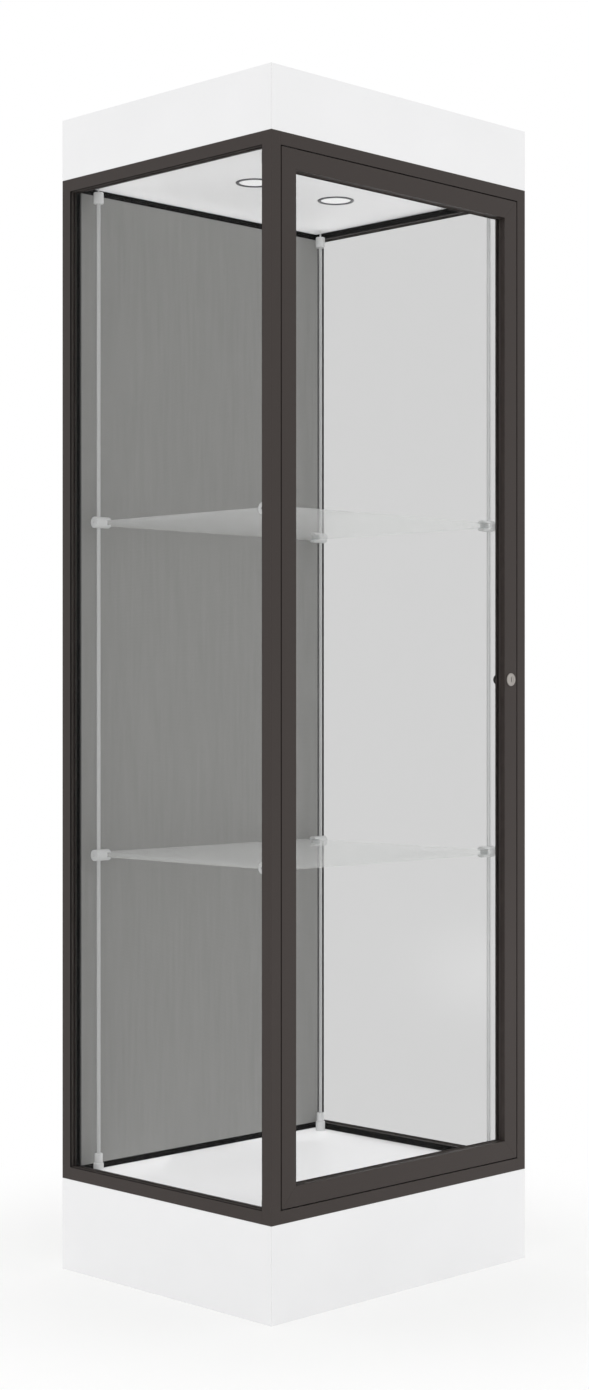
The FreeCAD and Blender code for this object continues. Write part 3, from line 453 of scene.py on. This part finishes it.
def panel_cloth():
    """Plain woven gray cloth with upright slubs."""
    material, tree = new_finish("woven_gray_panel_cloth")
    place = add(tree, "TexCoord").outputs["Object"]
    threads = repeats(THREAD_MM) / WAVES_PER_SCALE
    warp = add(tree, "TexWave", {"bands_direction": "X", "Scale": threads}, {"Vector": place})
    weft = add(tree, "TexWave", {"bands_direction": "Z", "Scale": threads}, {"Vector": place})
    weave = add(
        tree, "Math", {"operation": "MULTIPLY"},
        {0: warp.outputs["Fac"], 1: weft.outputs["Fac"]},
    )
    squeeze = (repeats(SLUB_WIDTH_MM), repeats(SLUB_WIDTH_MM), repeats(SLUB_LENGTH_MM))
    drawn = add(tree, "Mapping", {"Scale": squeeze}, {"Vector": place})
    slubs = add(
        tree, "TexNoise", {"Scale": 1.0, "Detail": 3.0}, {"Vector": drawn.outputs["Vector"]}
    )
    shade = add(
        tree, "Math", {"operation": "MULTIPLY_ADD", 1: WEAVE_SHARE},
        {0: weave.outputs["Value"], 2: slubs.outputs["Fac"]},
    )
    tone = add(
        tree, "Mix",
        {"data_type": "RGBA", MIX_FIRST: colour(CLOTH_DARK), MIX_SECOND: colour(CLOTH_PALE)},
        {"Factor": shade.outputs["Value"]},
    )
    bump = add(
        tree, "Bump", {"Strength": RELIEF_STRENGTH, "Distance": THREAD_HEIGHT_MM * MM},
        {"Height": weave.outputs["Value"]},
    )
    cloth = add(
        tree, "BsdfPrincipled",
        {
            "Roughness": CLOTH_ROUGHNESS, "Specular IOR Level": CLOTH_SHINE,
            "Sheen Weight": FUZZ_WEIGHT, "Sheen Roughness": FUZZ_ROUGHNESS,
        },
        {"Base Color": tone.outputs[MIX_RESULT], "Normal": bump.outputs["Normal"]},
    )
    add(tree, "OutputMaterial", {}, {"Surface": cloth.outputs["BSDF"]})
    return material


paint(panel_cloth(), "back_panel")

# %% [markdown]
# Bright metal parts.
# The rods, sockets and shelf clamps are turned aluminium with a clear satin anodised skin, the lock
# is satin nickel on brass, and the pins, nuts and feet are steel with a bright zinc skin. Turning
# leaves rings and drawing leaves lines, so each of them has a noise pattern squeezed one way. One
# function makes all of them from a colour pair, a roughness pair, the direction of the lines and
# the share of metal, which is lower under an anodised skin because the skin scatters light.

# %% Satin aluminium, nickel and zinc
TOOL_MARK_MM = 0.9
TOOL_MARK_LENGTH_MM = 60
TOOL_MARK_DEPTH_MM = 0.01
ANODISED_METAL_SHARE = 0.25
ANODISED_SHEEN = (0.48, 0.6)
CAST_SHEEN = (0.5, 0.65)
NICKEL_SHEEN = (0.28, 0.42)
ZINC_SHEEN = (0.25, 0.42)
BLACK_ZINC_SHEEN = (0.35, 0.5)
ROD_TONES = ("#D2D3D3", "#C8C9C9")
TURNED_TONES = ("#E0E1E1", "#D6D7D7")


def bright_metal(name, tones, sheen, squeezed, metal_share=1.0):
    """A plated or anodised metal with tool marks, which are narrow along the squeezed axes."""
    material, tree = new_finish(name)
    place = add(tree, "TexCoord").outputs["Object"]
    squeeze = [repeats(TOOL_MARK_LENGTH_MM)] * 3
    for axis in squeezed:
        squeeze[axis] = repeats(TOOL_MARK_MM)
    drawn = add(tree, "Mapping", {"Scale": squeeze}, {"Vector": place})
    marks = add(
        tree, "TexNoise", {"Scale": 1.0, "Detail": 2.0}, {"Vector": drawn.outputs["Vector"]}
    )
    add_skin(
        tree, marks.outputs["Fac"], tones, sheen, {"Metallic": metal_share}, TOOL_MARK_DEPTH_MM
    )
    return material


paint(
    bright_metal(
        "satin_anodised_rods", ROD_TONES, ANODISED_SHEEN, (ACROSS, DEEP), ANODISED_METAL_SHARE
    ),
    "shelf_rods",
)
paint(
    bright_metal(
        "satin_anodised_turned", TURNED_TONES, ANODISED_SHEEN, (UPRIGHT,), ANODISED_METAL_SHARE
    ),
    "rod_top_sockets", "rod_bottom_sockets",
)
paint(
    bright_metal(
        "satin_anodised_clamps", TURNED_TONES, ANODISED_SHEEN, (ACROSS,), ANODISED_METAL_SHARE
    ),
    "upper_shelf_clamps", "lower_shelf_clamps",
)
paint(
    bright_metal("die_cast_housing", ("#B4B5B6", "#A2A3A4"), CAST_SHEEN, (ACROSS, DEEP, UPRIGHT)),
    "puck_housings",
)
paint(
    bright_metal("satin_nickel_lock", ("#AFAAA5", "#9F9A96"), NICKEL_SHEEN, (DEEP,)),
    "lock_barrel", "lock_plug",
)
zinc = bright_metal("bright_zinc_steel", ("#C3C6CA", "#A9ACB1"), ZINC_SHEEN, (UPRIGHT,))
paint(zinc, "leveller_nuts", "lock_nut", "lock_cam")
black_zinc = bright_metal("black_zinc_steel", ("#2C2C2D", "#212122"), BLACK_ZINC_SHEEN, (UPRIGHT,))
paint(black_zinc, "lock_strike", "pivot_pins")

# %% [markdown]
# Frosted light lenses.
# The two lights are switched on at a low level. Their lens is a frosted acrylic disc that spreads
# the light, so it is a pale rough plastic with a little glow of its own. The glow is uneven in the
# real lens, so noise mixes two whites.

# %% Frosted acrylic
LENS_WHITE = "#FBFBFB"
LENS_SHADE = "#F1F2F3"
LENS_GLOW = 0.44
ACRYLIC_INDEX = 1.49
FROST_SHEEN = (0.45, 0.6)
FROST_MM = 5


def frosted_acrylic():
    """A pale diffuser with a low glow."""
    material, tree = new_finish("frosted_acrylic")
    place = add(tree, "TexCoord").outputs["Object"]
    frost = add(tree, "TexNoise", {"Scale": repeats(FROST_MM), "Detail": 2.0}, {"Vector": place})
    add_skin(
        tree, frost.outputs["Fac"], (LENS_WHITE, LENS_SHADE), FROST_SHEEN,
        {
            "IOR": ACRYLIC_INDEX, "Emission Color": colour(LENS_WHITE),
            "Emission Strength": LENS_GLOW,
        },
    )
    return material


paint(frosted_acrylic(), "puck_lenses")

# %% [markdown]
# Softened edges.
# No edge on a real product is perfectly sharp: a laminate edge is broken with a file, and an
# extrusion has the small radius of its die. A bevel shows as a thin light or dark line along the
# edge. The bevel is a modifier, so the CAD mesh itself stays as it is. The imported mesh has a
# separate copy of each corner for every face, so a weld modifier joins them first. Flat faces with
# holes come in as long thin triangles, which a bevel would fold over, so a decimate modifier
# dissolves them into whole flat faces. The cleats in the header touch end to end, and a weld would
# join them, so they keep their sharp sawn edges.

# %% Bevels on the CAD pieces
WELD_MM = 0.005
SHARP_ANGLE = math.radians(40)
FLAT_ANGLE = math.radians(0.2)
EDGE_STEPS = 2
EDGE_RADIUS_MM = {
    0.45: [name for name in nodes if name.endswith(("_board", "_boards"))],
    0.5: [name for name in nodes if name.startswith(("post_", "rail_bottom_", "rail_top_"))],
    0.3: [name for name in nodes if name.startswith(("door_stile_", "door_rail_"))],
    0.6: ["floor_panel", "ceiling_panel", "upper_shelf_glass", "lower_shelf_glass", "led_driver"],
    0.25: ["lock_strike", "lock_cam", "lock_nut", "puck_bezels"],
    1.0: ["base_corner_blocks", "back_panel"],
}
for radius_mm, names in EDGE_RADIUS_MM.items():
    for name in names:
        weld = nodes[name].modifiers.new("weld_corners", "WELD")
        weld.merge_threshold = WELD_MM * MM
        whole = nodes[name].modifiers.new("whole_faces", "DECIMATE")
        whole.decimate_type = "DISSOLVE"
        whole.angle_limit = FLAT_ANGLE
        bevel = nodes[name].modifiers.new("softened_edges", "BEVEL")
        bevel.width = radius_mm * MM
        bevel.segments = EDGE_STEPS
        bevel.limit_method = "ANGLE"
        bevel.angle_limit = SHARP_ANGLE
        bevel.use_clamp_overlap = True
        bevel.harden_normals = True
    print("edges of", radius_mm, "mm on", len(names), "pieces")

# %% [markdown]
# Ways to make the small pieces.
# The last pieces are too small or too fine for the CAD model. All of them are lofts: rings of points
# that are joined by faces. Each is drawn in millimetres round its own axis, and one matrix then puts
# it at its place on the case. A new piece has to ride on a body of the frame, so that it moves with
# the joints.

# %% Helpers for lofted pieces
ROUND_STEPS = 24
SIXTH_TURN = math.pi / 3
UP = Vector((0, 0, 1))


def stand(point, axis=UP):
    """The matrix that puts a piece drawn in millimetres at a point of the case, along an axis."""
    turn = UP.rotation_difference(Vector(axis)).to_matrix().to_4x4()
    return Matrix.Translation(point) @ turn @ Matrix.Scale(MM, 4)


def ring(radius, height, hexagon=False):
    """Points on a circle, or on a hexagon that is given by half its width across flats."""
    points = []
    for step in range(ROUND_STEPS):
        angle = 2 * math.pi * step / ROUND_STEPS
        reach = radius
        if hexagon:
            reach = radius / math.cos(angle % SIXTH_TURN - SIXTH_TURN / 2)
        points.append(Vector((reach * math.cos(angle), reach * math.sin(angle), height)))
    return points


def loft(mesh, rings, place, endless=False):
    """Joins rings by faces. The two ends are capped, or joined where the loft is endless."""
    rows = [[mesh.verts.new(place @ point) for point in points] for points in rings]
    pairs = list(zip(rows, rows[1:]))
    if endless:
        pairs.append((rows[-1], rows[0]))
    else:
        mesh.faces.new(rows[0])
        mesh.faces.new(rows[-1])
    for row, following in pairs:
        for index, corner in enumerate(row):
            beside = (index + 1) % len(row)
            mesh.faces.new((corner, row[beside], following[beside], following[index]))


def new_piece(name, mesh, material, body):
    """Makes an object of a finished mesh and lets it ride on a body."""
    bmesh.ops.recalc_face_normals(mesh, faces=mesh.faces)
    data = bpy.data.meshes.new(name)
    mesh.to_mesh(data)
    mesh.free()
    data.shade_smooth()
    data.set_sharp_from_angle(angle=SHARP_ANGLE)
    data.materials.append(material)
    piece = bpy.data.objects.new(name, data)
    scene.collection.objects.link(piece)
    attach(piece, body)
    print(name, "has", len(data.polygons), "faces")
    return piece


# %% [markdown]
# Edge strips and painted shade.
# Flat black rubber strips line the inner faces of the rails round the floor panel and round the
# ceiling, and they paint those faces darker than the lit frame would be there. A black strip up each
# back post beside the cloth panel is painted shade in the corner between post and panel, and a narrow
# black line round each side opening is a painted shadow line along the edge of the opening. A gray
# tape on the sides of the cloth panel is painted shade on those sides. A curve with a bevel profile
# could follow the frame too, but it would round the corners. Here every point of a strip's section
# becomes a rectangle of four corner points, and the loft between those rectangles has clean mitres.
# The upright strips are plain lofts from end to end, made in mirrored pairs.

# %% Edge strips
STRIP_MM = 1.0
STRIP_BREAK_MM = 0.3
POST_SHADE_STRIP_MM = 7.9
SHADOW_LINE_MM = 0.5
SHADOW_LINE_FROM_MM = 0.2
SHADOW_LINE_TO_MM = 2.0
TAPE_MM = 0.5
TAPE_BREAK_MM = 0.15
PANEL_GAP_MM = 0.3
FRAME_CORNERS = ((-1, -1), (1, -1), (1, 1), (-1, 1))


def broken_corners(low_x, low_y, high_x, high_y, cut):
    """The points of a rectangle whose four corners are cut."""
    return [
        (low_x + cut, low_y), (high_x - cut, low_y), (high_x, low_y + cut), (high_x, high_y - cut),
        (high_x - cut, high_y), (low_x + cut, high_y), (low_x, high_y - cut), (low_x, low_y + cut),
    ]


def strip_round(mesh, half_x, half_y, section, place):
    """A mitred strip inside a rectangle. Its section is given as steps inward and along the axis."""
    rings = [
        [Vector(((half_x - inward) * across, (half_y - inward) * back, along))
         for across, back in FRAME_CORNERS]
        for inward, along in section
    ]
    loft(mesh, rings, place, endless=True)


def upright_pair(mesh, section, bottom, top):
    """Two mirrored strips between two heights. The section is the plan of the right one."""
    for side in (-1, 1):
        ends = [[Vector((x * side, y, height)) for x, y in section] for height in (bottom, top)]
        loft(mesh, ends, stand((0, 0, 0)))


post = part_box("post_back_right")[0] / MM
panel_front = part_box("back_panel")[0].y / MM
floor_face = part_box("floor_panel")[1].z / MM
ceiling_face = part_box("ceiling_panel")[0].z / MM
bottom_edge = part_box("rail_bottom_back")[1].z / MM
top_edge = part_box("rail_top_back")[0].z / MM
strips = bmesh.new()
# The black strips round the floor panel and the ceiling paint the inner faces of the rails darker, as
# painted shade.
for face, edge in ((floor_face, bottom_edge), (ceiling_face, top_edge)):
    web = broken_corners(0, min(face, edge), STRIP_MM, max(face, edge), STRIP_BREAK_MM)
    strip_round(strips, post.x, post.y, web, stand((0, 0, 0)))
# The upright black strips beside the cloth panel are painted shade in the corner between post and
# panel.
strip_face = post.y - STRIP_MM
web = broken_corners(post.x, strip_face, post.x + POST_SHADE_STRIP_MM, post.y, STRIP_BREAK_MM)
upright_pair(strips, web, bottom_edge, top_edge)
# A narrow black line round each side opening is a painted shadow line.
shadow_line = broken_corners(0, SHADOW_LINE_FROM_MM, SHADOW_LINE_MM, SHADOW_LINE_TO_MM, TAPE_BREAK_MM)
opening = (top_edge - bottom_edge) / 2
for side in (-1, 1):
    middle = Vector((cad_box[1].x * side, 0, (top_edge + bottom_edge) / 2 * MM))
    strip_round(strips, opening, post.y, shadow_line, stand(middle, (-side, 0, 0)))
new_piece("edge_strips_painted_shade", strips, rubber, "case")

# The gray tape on the sides of the cloth panel is painted shade on those sides.
panel_side_shade_finish = moulded(
    "gray_tape_painted_shade", ("#686866", "#5E5E5C"), RUBBER_GRAIN_MM, RUBBER_SHEEN, TALC_SHINE
)
tape = bmesh.new()
panel_side = post.x - PANEL_GAP_MM
web = broken_corners(panel_side, panel_front + TAPE_MM, panel_side + TAPE_MM, strip_face, TAPE_BREAK_MM)
upright_pair(tape, web, bottom_edge + TAPE_MM, top_edge - TAPE_MM)
new_piece("panel_side_tape_painted_shade", tape, panel_side_shade_finish, "case")

# %% [markdown]
# Leveller feet.
# The case stands on its base boards, and four screw feet inside the base can lift it. A foot is a
# round pad with a hexagon collar for a wrench and a threaded stem. The thread is one ridge that
# climbs round a plain core, so it is a loft too, with one small four-cornered ring at each step of
# the helix. It fades out at both ends, as a cut thread does. The real pitch is 1.5 mm, and it is
# drawn at 2.5 mm to keep the mesh light.

# %% Threaded leveller feet
PAD_BREAK_MM = 0.6
PAD_EDGE_MM = 3.0
PAD_HEIGHT_MM = 6.0
COLLAR_FLAT_MM = 9.0
COLLAR_TOP_MM = 12.0
COLLAR_BREAK_MM = 0.8
STEM_CREST_MM = 5.0
STEM_CORE_MM = 4.2
STEM_BREAK_MM = 1.0
THREAD_START_MM = 14.0
PITCH_MM = 2.5
RIDGE_FOOT_SHARE = 0.42
RIDGE_CREST_SHARE = 0.12
SUNK_MM = 0.1
STEPS_PER_TURN = 16


def thread_rings(bottom, top):
    """Four-cornered rings of a ridge that climbs round the stem and fades out at both ends."""
    count = round((top - bottom) / PITCH_MM * STEPS_PER_TURN)
    root = STEM_CORE_MM - SUNK_MM
    rings = []
    for step in range(count + 1):
        turns = step / STEPS_PER_TURN
        fade = min(1, turns, (count - step) / STEPS_PER_TURN)
        crest = STEM_CORE_MM + (STEM_CREST_MM - STEM_CORE_MM) * fade
        corners = [
            (root, -RIDGE_FOOT_SHARE), (crest, -RIDGE_CREST_SHARE),
            (crest, RIDGE_CREST_SHARE), (root, RIDGE_FOOT_SHARE),
        ]
        angle = 2 * math.pi * turns
        rings.append([
            Vector((
                radius * math.cos(angle), radius * math.sin(angle), bottom + PITCH_MM * (turns + share)
            ))
            for radius, share in corners
        ])
    return rings


def leveller_foot(corner):
    """A pad, a hexagon collar and a threaded stem in place of the plain CAD foot."""
    node = f"leveller_foot_{corner}"
    low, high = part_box(node)
    middle = (low + high) / 2
    place = stand((middle.x, middle.y, low.z))
    pad = (high.x - low.x) / 2 / MM
    top = (high.z - low.z) / MM
    mesh = bmesh.new()
    loft(mesh, [
        ring(pad - PAD_BREAK_MM, 0), ring(pad, PAD_BREAK_MM), ring(pad, PAD_EDGE_MM),
        ring(pad - PAD_EDGE_MM, PAD_HEIGHT_MM),
    ], place)
    loft(mesh, [
        ring(COLLAR_FLAT_MM, PAD_HEIGHT_MM - SUNK_MM, hexagon=True),
        ring(COLLAR_FLAT_MM, COLLAR_TOP_MM - COLLAR_BREAK_MM, hexagon=True),
        ring(COLLAR_FLAT_MM - COLLAR_BREAK_MM / 2, COLLAR_TOP_MM),
    ], place)
    loft(mesh, [
        ring(STEM_CORE_MM, COLLAR_TOP_MM - SUNK_MM), ring(STEM_CORE_MM, top - STEM_BREAK_MM),
        ring(STEM_CORE_MM - STEM_BREAK_MM, top),
    ], place)
    loft(mesh, thread_rings(THREAD_START_MM, top - STEM_BREAK_MM - PITCH_MM), place)
    foot = new_piece(f"threaded_foot_{corner}", mesh, zinc, f"leveller_{corner}")
    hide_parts(node)


for corner in ("front_left", "front_right", "back_left", "back_right"):
    leveller_foot(corner)

# %% [markdown]
# Screw heads.
# Two black button screws hold the strike plate on the lock post, and two zinc ones hold the light
# driver on the ceiling panel. A button head is a low dome with a hexagon socket, so its rings rise,
# close in, and then sink again as hexagons.

# %% Button screws
# Each ring of a head is its reach and its height, as shares of the head's radius, and whether it is
# a hexagon.
HEAD_RINGS = [
    (1.0, 0.0, False), (1.0, 0.14, False), (0.88, 0.32, False), (0.66, 0.42, False),
    (0.4, 0.45, True), (0.4, 0.16, True),
]
STRIKE_HEAD_MM = 2.6
STRIKE_SCREW_IN_MM = 3.8
STRIKE_SCREW_STEP_MM = 17.0
DRIVER_HEAD_MM = 3.6
DRIVER_SCREW_IN_MM = 9.0
DRIVER_TAB_MM = 3.0


def button_heads(name, radius, places, axis, material):
    """Socket button heads of one radius, all along one axis."""
    mesh = bmesh.new()
    for place in places:
        rings = [ring(radius * out, radius * up, hexagon) for out, up, hexagon in HEAD_RINGS]
        loft(mesh, rings, stand(place, axis))
    new_piece(name, mesh, material, "case")


low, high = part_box("lock_strike")
strike_places = [
    (high.x - STRIKE_SCREW_IN_MM * MM, high.y, (low.z + high.z) / 2 + STRIKE_SCREW_STEP_MM * MM * side)
    for side in (-1, 1)
]
button_heads("strike_screws", STRIKE_HEAD_MM, strike_places, (0, 1, 0), black_zinc)
low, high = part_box("led_driver")
driver_places = [
    ((high.x - DRIVER_SCREW_IN_MM * MM) * side, (low.y + high.y) / 2, low.z + DRIVER_TAB_MM * MM)
    for side in (-1, 1)
]
button_heads("driver_screws", DRIVER_HEAD_MM, driver_places, UP, zinc)

# %% [markdown]
# A white studio.
# The object stands in a plain white tent: the world is white and gives soft light from all sides.
# The floor is pale and matt, so it keeps the soft shadow under the base. Already at the base half of
# the floor is plain white for the camera, for mirrors and for glass, which is painted light that
# lightens that shadow. Further out the floor turns wholly into plain white for them, so that no
# horizon shows; for all other light it stays a floor.

# %% World and floor
WORLD_WHITE = "#FFFFFF"
FLOOR_PALE = "#F6F6F5"
FLOOR_RADIUS = 14.0
FLOOR_SIDES = 96
# At the base half of the floor is painted white for the camera, which lightens the shadow there.
WHITE_AT_BASE = 0.5
SHADOW_REACH = 0.36
WHITE_FROM = 1.0

world = bpy.data.worlds.new("white_tent")
world.use_nodes = True
world.node_tree.nodes.clear()
sky = add(world.node_tree, "Background", {"Color": colour(WORLD_WHITE), "Strength": 1.0})
add(world.node_tree, "OutputWorld", {}, {"Surface": sky.outputs["Background"]})
scene.world = world

floor_material, floor_tree = new_finish("pale_matt_floor")
floor_place = add(floor_tree, "TexCoord").outputs["Object"]
distance = add(floor_tree, "VectorMath", {"operation": "LENGTH"}, {0: floor_place})
fade = add(
    floor_tree, "MapRange",
    {
        "interpolation_type": "SMOOTHSTEP", "From Min": SHADOW_REACH, "From Max": WHITE_FROM,
        "To Min": WHITE_AT_BASE,
    },
    {"Value": distance.outputs["Value"]},
)
rays = add(floor_tree, "LightPath")
seen = rays.outputs["Is Camera Ray"]
for kind in ("Is Glossy Ray", "Is Transmission Ray"):
    either = add(
        floor_tree, "Math", {"operation": "MAXIMUM"}, {0: seen, 1: rays.outputs[kind]}
    )
    seen = either.outputs["Value"]
white_share = add(
    floor_tree, "Math", {"operation": "MULTIPLY"}, {0: seen, 1: fade.outputs["Result"]}
)
matt = add(floor_tree, "BsdfDiffuse", {"Color": colour(FLOOR_PALE)})
white = add(floor_tree, "Emission", {"Color": colour(WORLD_WHITE), "Strength": 1.0})
floor_mix = add(
    floor_tree, "MixShader", {},
    {0: white_share.outputs["Value"], 1: matt.outputs["BSDF"], 2: white.outputs["Emission"]},
)
add(floor_tree, "OutputMaterial", {}, {"Surface": floor_mix.outputs["Shader"]})

floor_mesh = bpy.data.meshes.new("studio_floor")
disc = bmesh.new()
bmesh.ops.create_circle(disc, cap_ends=True, segments=FLOOR_SIDES, radius=FLOOR_RADIUS)
disc.to_mesh(floor_mesh)
disc.free()
floor = bpy.data.objects.new("studio_floor", floor_mesh)
floor.data.materials.append(floor_material)
scene.collection.objects.link(floor)
print("floor radius", FLOOR_RADIUS, "m, plain white from", WHITE_FROM, "m")

# %% [markdown]
# Lamps.
# A small soft lamp at the lower right leaves a faint glow in the door glass, and two wider ones keep
# the right and left faces of the case equally bright. Lamps inside do the work of the cards that a
# photographer would use to bounce light into such a deep box: a wide one faces up and one faces
# down, each clear of all the heights that its shelf can have, and a narrow one along the back edge of
# the ceiling and of the floor fills the dark line that the cloth panel leaves there. A tall one lights
# the rod and clamps at the front right, which stand close to a dark post. Light linking lets each of
# these lamps fall on a few pieces only, so that none shows as a bright band on the cloth. They are
# rectangles, which give less grain at close range than discs do. No lamp can be seen, and only the
# first one is mirrored.

# %% Lamps
LAMPS = {
    "door_glow": {"at": (1.71, -1.55, 0.26), "to": (0.2, -0.24, 0.6), "size": (0.2, 0.2), "watts": 1.1},
    "right_fill": {"at": (1.75, -1.55, 0.36), "to": (0.2, -0.2, 0.6), "size": (0.6, 0.6), "watts": 1.6},
    "left_fill": {"at": (-1.75, 1.55, 0.36), "to": (-0.3, 0.2, 0.6), "size": (0.6, 0.6), "watts": 2.4},
    "upward_card": {
        "at": (0, 0, 0.92), "to": (0, 0, 1.82), "size": (2.66, 2.66), "watts": 16.4,
        "lights": ["ceiling_panel", "puck_bezels", "rod_top_sockets", "upper_shelf_glass"],
    },
    "downward_card": {
        "at": (0, 0, 1.05), "to": (0, 0, 0.16), "size": (2.66, 2.66), "watts": 15.8,
        "lights": ["floor_panel", "rod_bottom_sockets", "lower_shelf_glass"],
    },
    "rod_card": {
        "at": (0.256, -0.225, 0.99), "to": (0.266, -0.202, 0.99), "size": (0.008, 1.8), "watts": 0.165,
        "lights": ["shelf_rods", "upper_shelf_clamps", "lower_shelf_clamps"],
    },
    "ceiling_edge_card": {
        "at": (0, 0.23, 1.725), "to": (0, 0.23, 1.82), "size": (0.62, 0.03), "watts": 0.36,
        "lights": ["ceiling_panel"],
    },
    "floor_edge_card": {
        "at": (0, 0.23, 0.257), "to": (0, 0.23, 0.162), "size": (0.62, 0.03), "watts": 0.22,
        "lights": ["floor_panel"],
    },
}
for name, plan in LAMPS.items():
    lamp_data = bpy.data.lights.new(name, "AREA")
    lamp_data.shape = "RECTANGLE" if "lights" in plan else "ELLIPSE"
    lamp_data.size, lamp_data.size_y = plan["size"]
    lamp_data.energy = plan["watts"]
    lamp = bpy.data.objects.new(name, lamp_data)
    lamp.location = plan["at"]
    aim = Vector(plan["to"]) - Vector(plan["at"])
    lamp.rotation_euler = aim.to_track_quat("-Z", "Y").to_euler()
    lamp.visible_camera = False
    lamp.visible_glossy = name == "door_glow"
    if "lights" in plan:
        lit = bpy.data.collections.new(f"lit_by_{name}")
        for piece in plan["lights"]:
            lit.objects.link(nodes[piece])
        lamp.light_linking.receiver_collection = lit
        lamp_data.use_shadow = False
    scene.collection.objects.link(lamp)
    print(name, "is", round(aim.length, 2), "m from what it lights")

# %% [markdown]
# The camera.
# The photograph's upright edges are parallel, so its camera is level, and its place and focal
# length follow from the corners of the case. The values were solved in pixels of the photograph
# and are turned into millimetres of a sensor here.

# %% Camera
PHOTO_WIDTH_PX = 589
PHOTO_HEIGHT_PX = 1390
FOCAL_PX = 2284.6
AXIS_ROW_PX = 696.3
CAMERA_PLACE = Vector((-2.7432, -2.7447, 0.9622))
CAMERA_YAW = math.radians(44.95)
CAMERA_LEVEL = math.radians(90)
SENSOR_MM = 36.0

camera_data = bpy.data.cameras.new("level_camera")
camera_data.sensor_width = SENSOR_MM
camera_data.lens = SENSOR_MM * FOCAL_PX / PHOTO_HEIGHT_PX
camera_data.shift_y = (AXIS_ROW_PX - PHOTO_HEIGHT_PX / 2) / PHOTO_HEIGHT_PX
camera = bpy.data.objects.new("level_camera", camera_data)
camera.location = CAMERA_PLACE
camera.rotation_euler = (CAMERA_LEVEL, 0, -CAMERA_YAW)
scene.collection.objects.link(camera)
scene.camera = camera
scene.view_settings.view_transform = "Standard"
print("lens", round(camera_data.lens, 2), "mm")
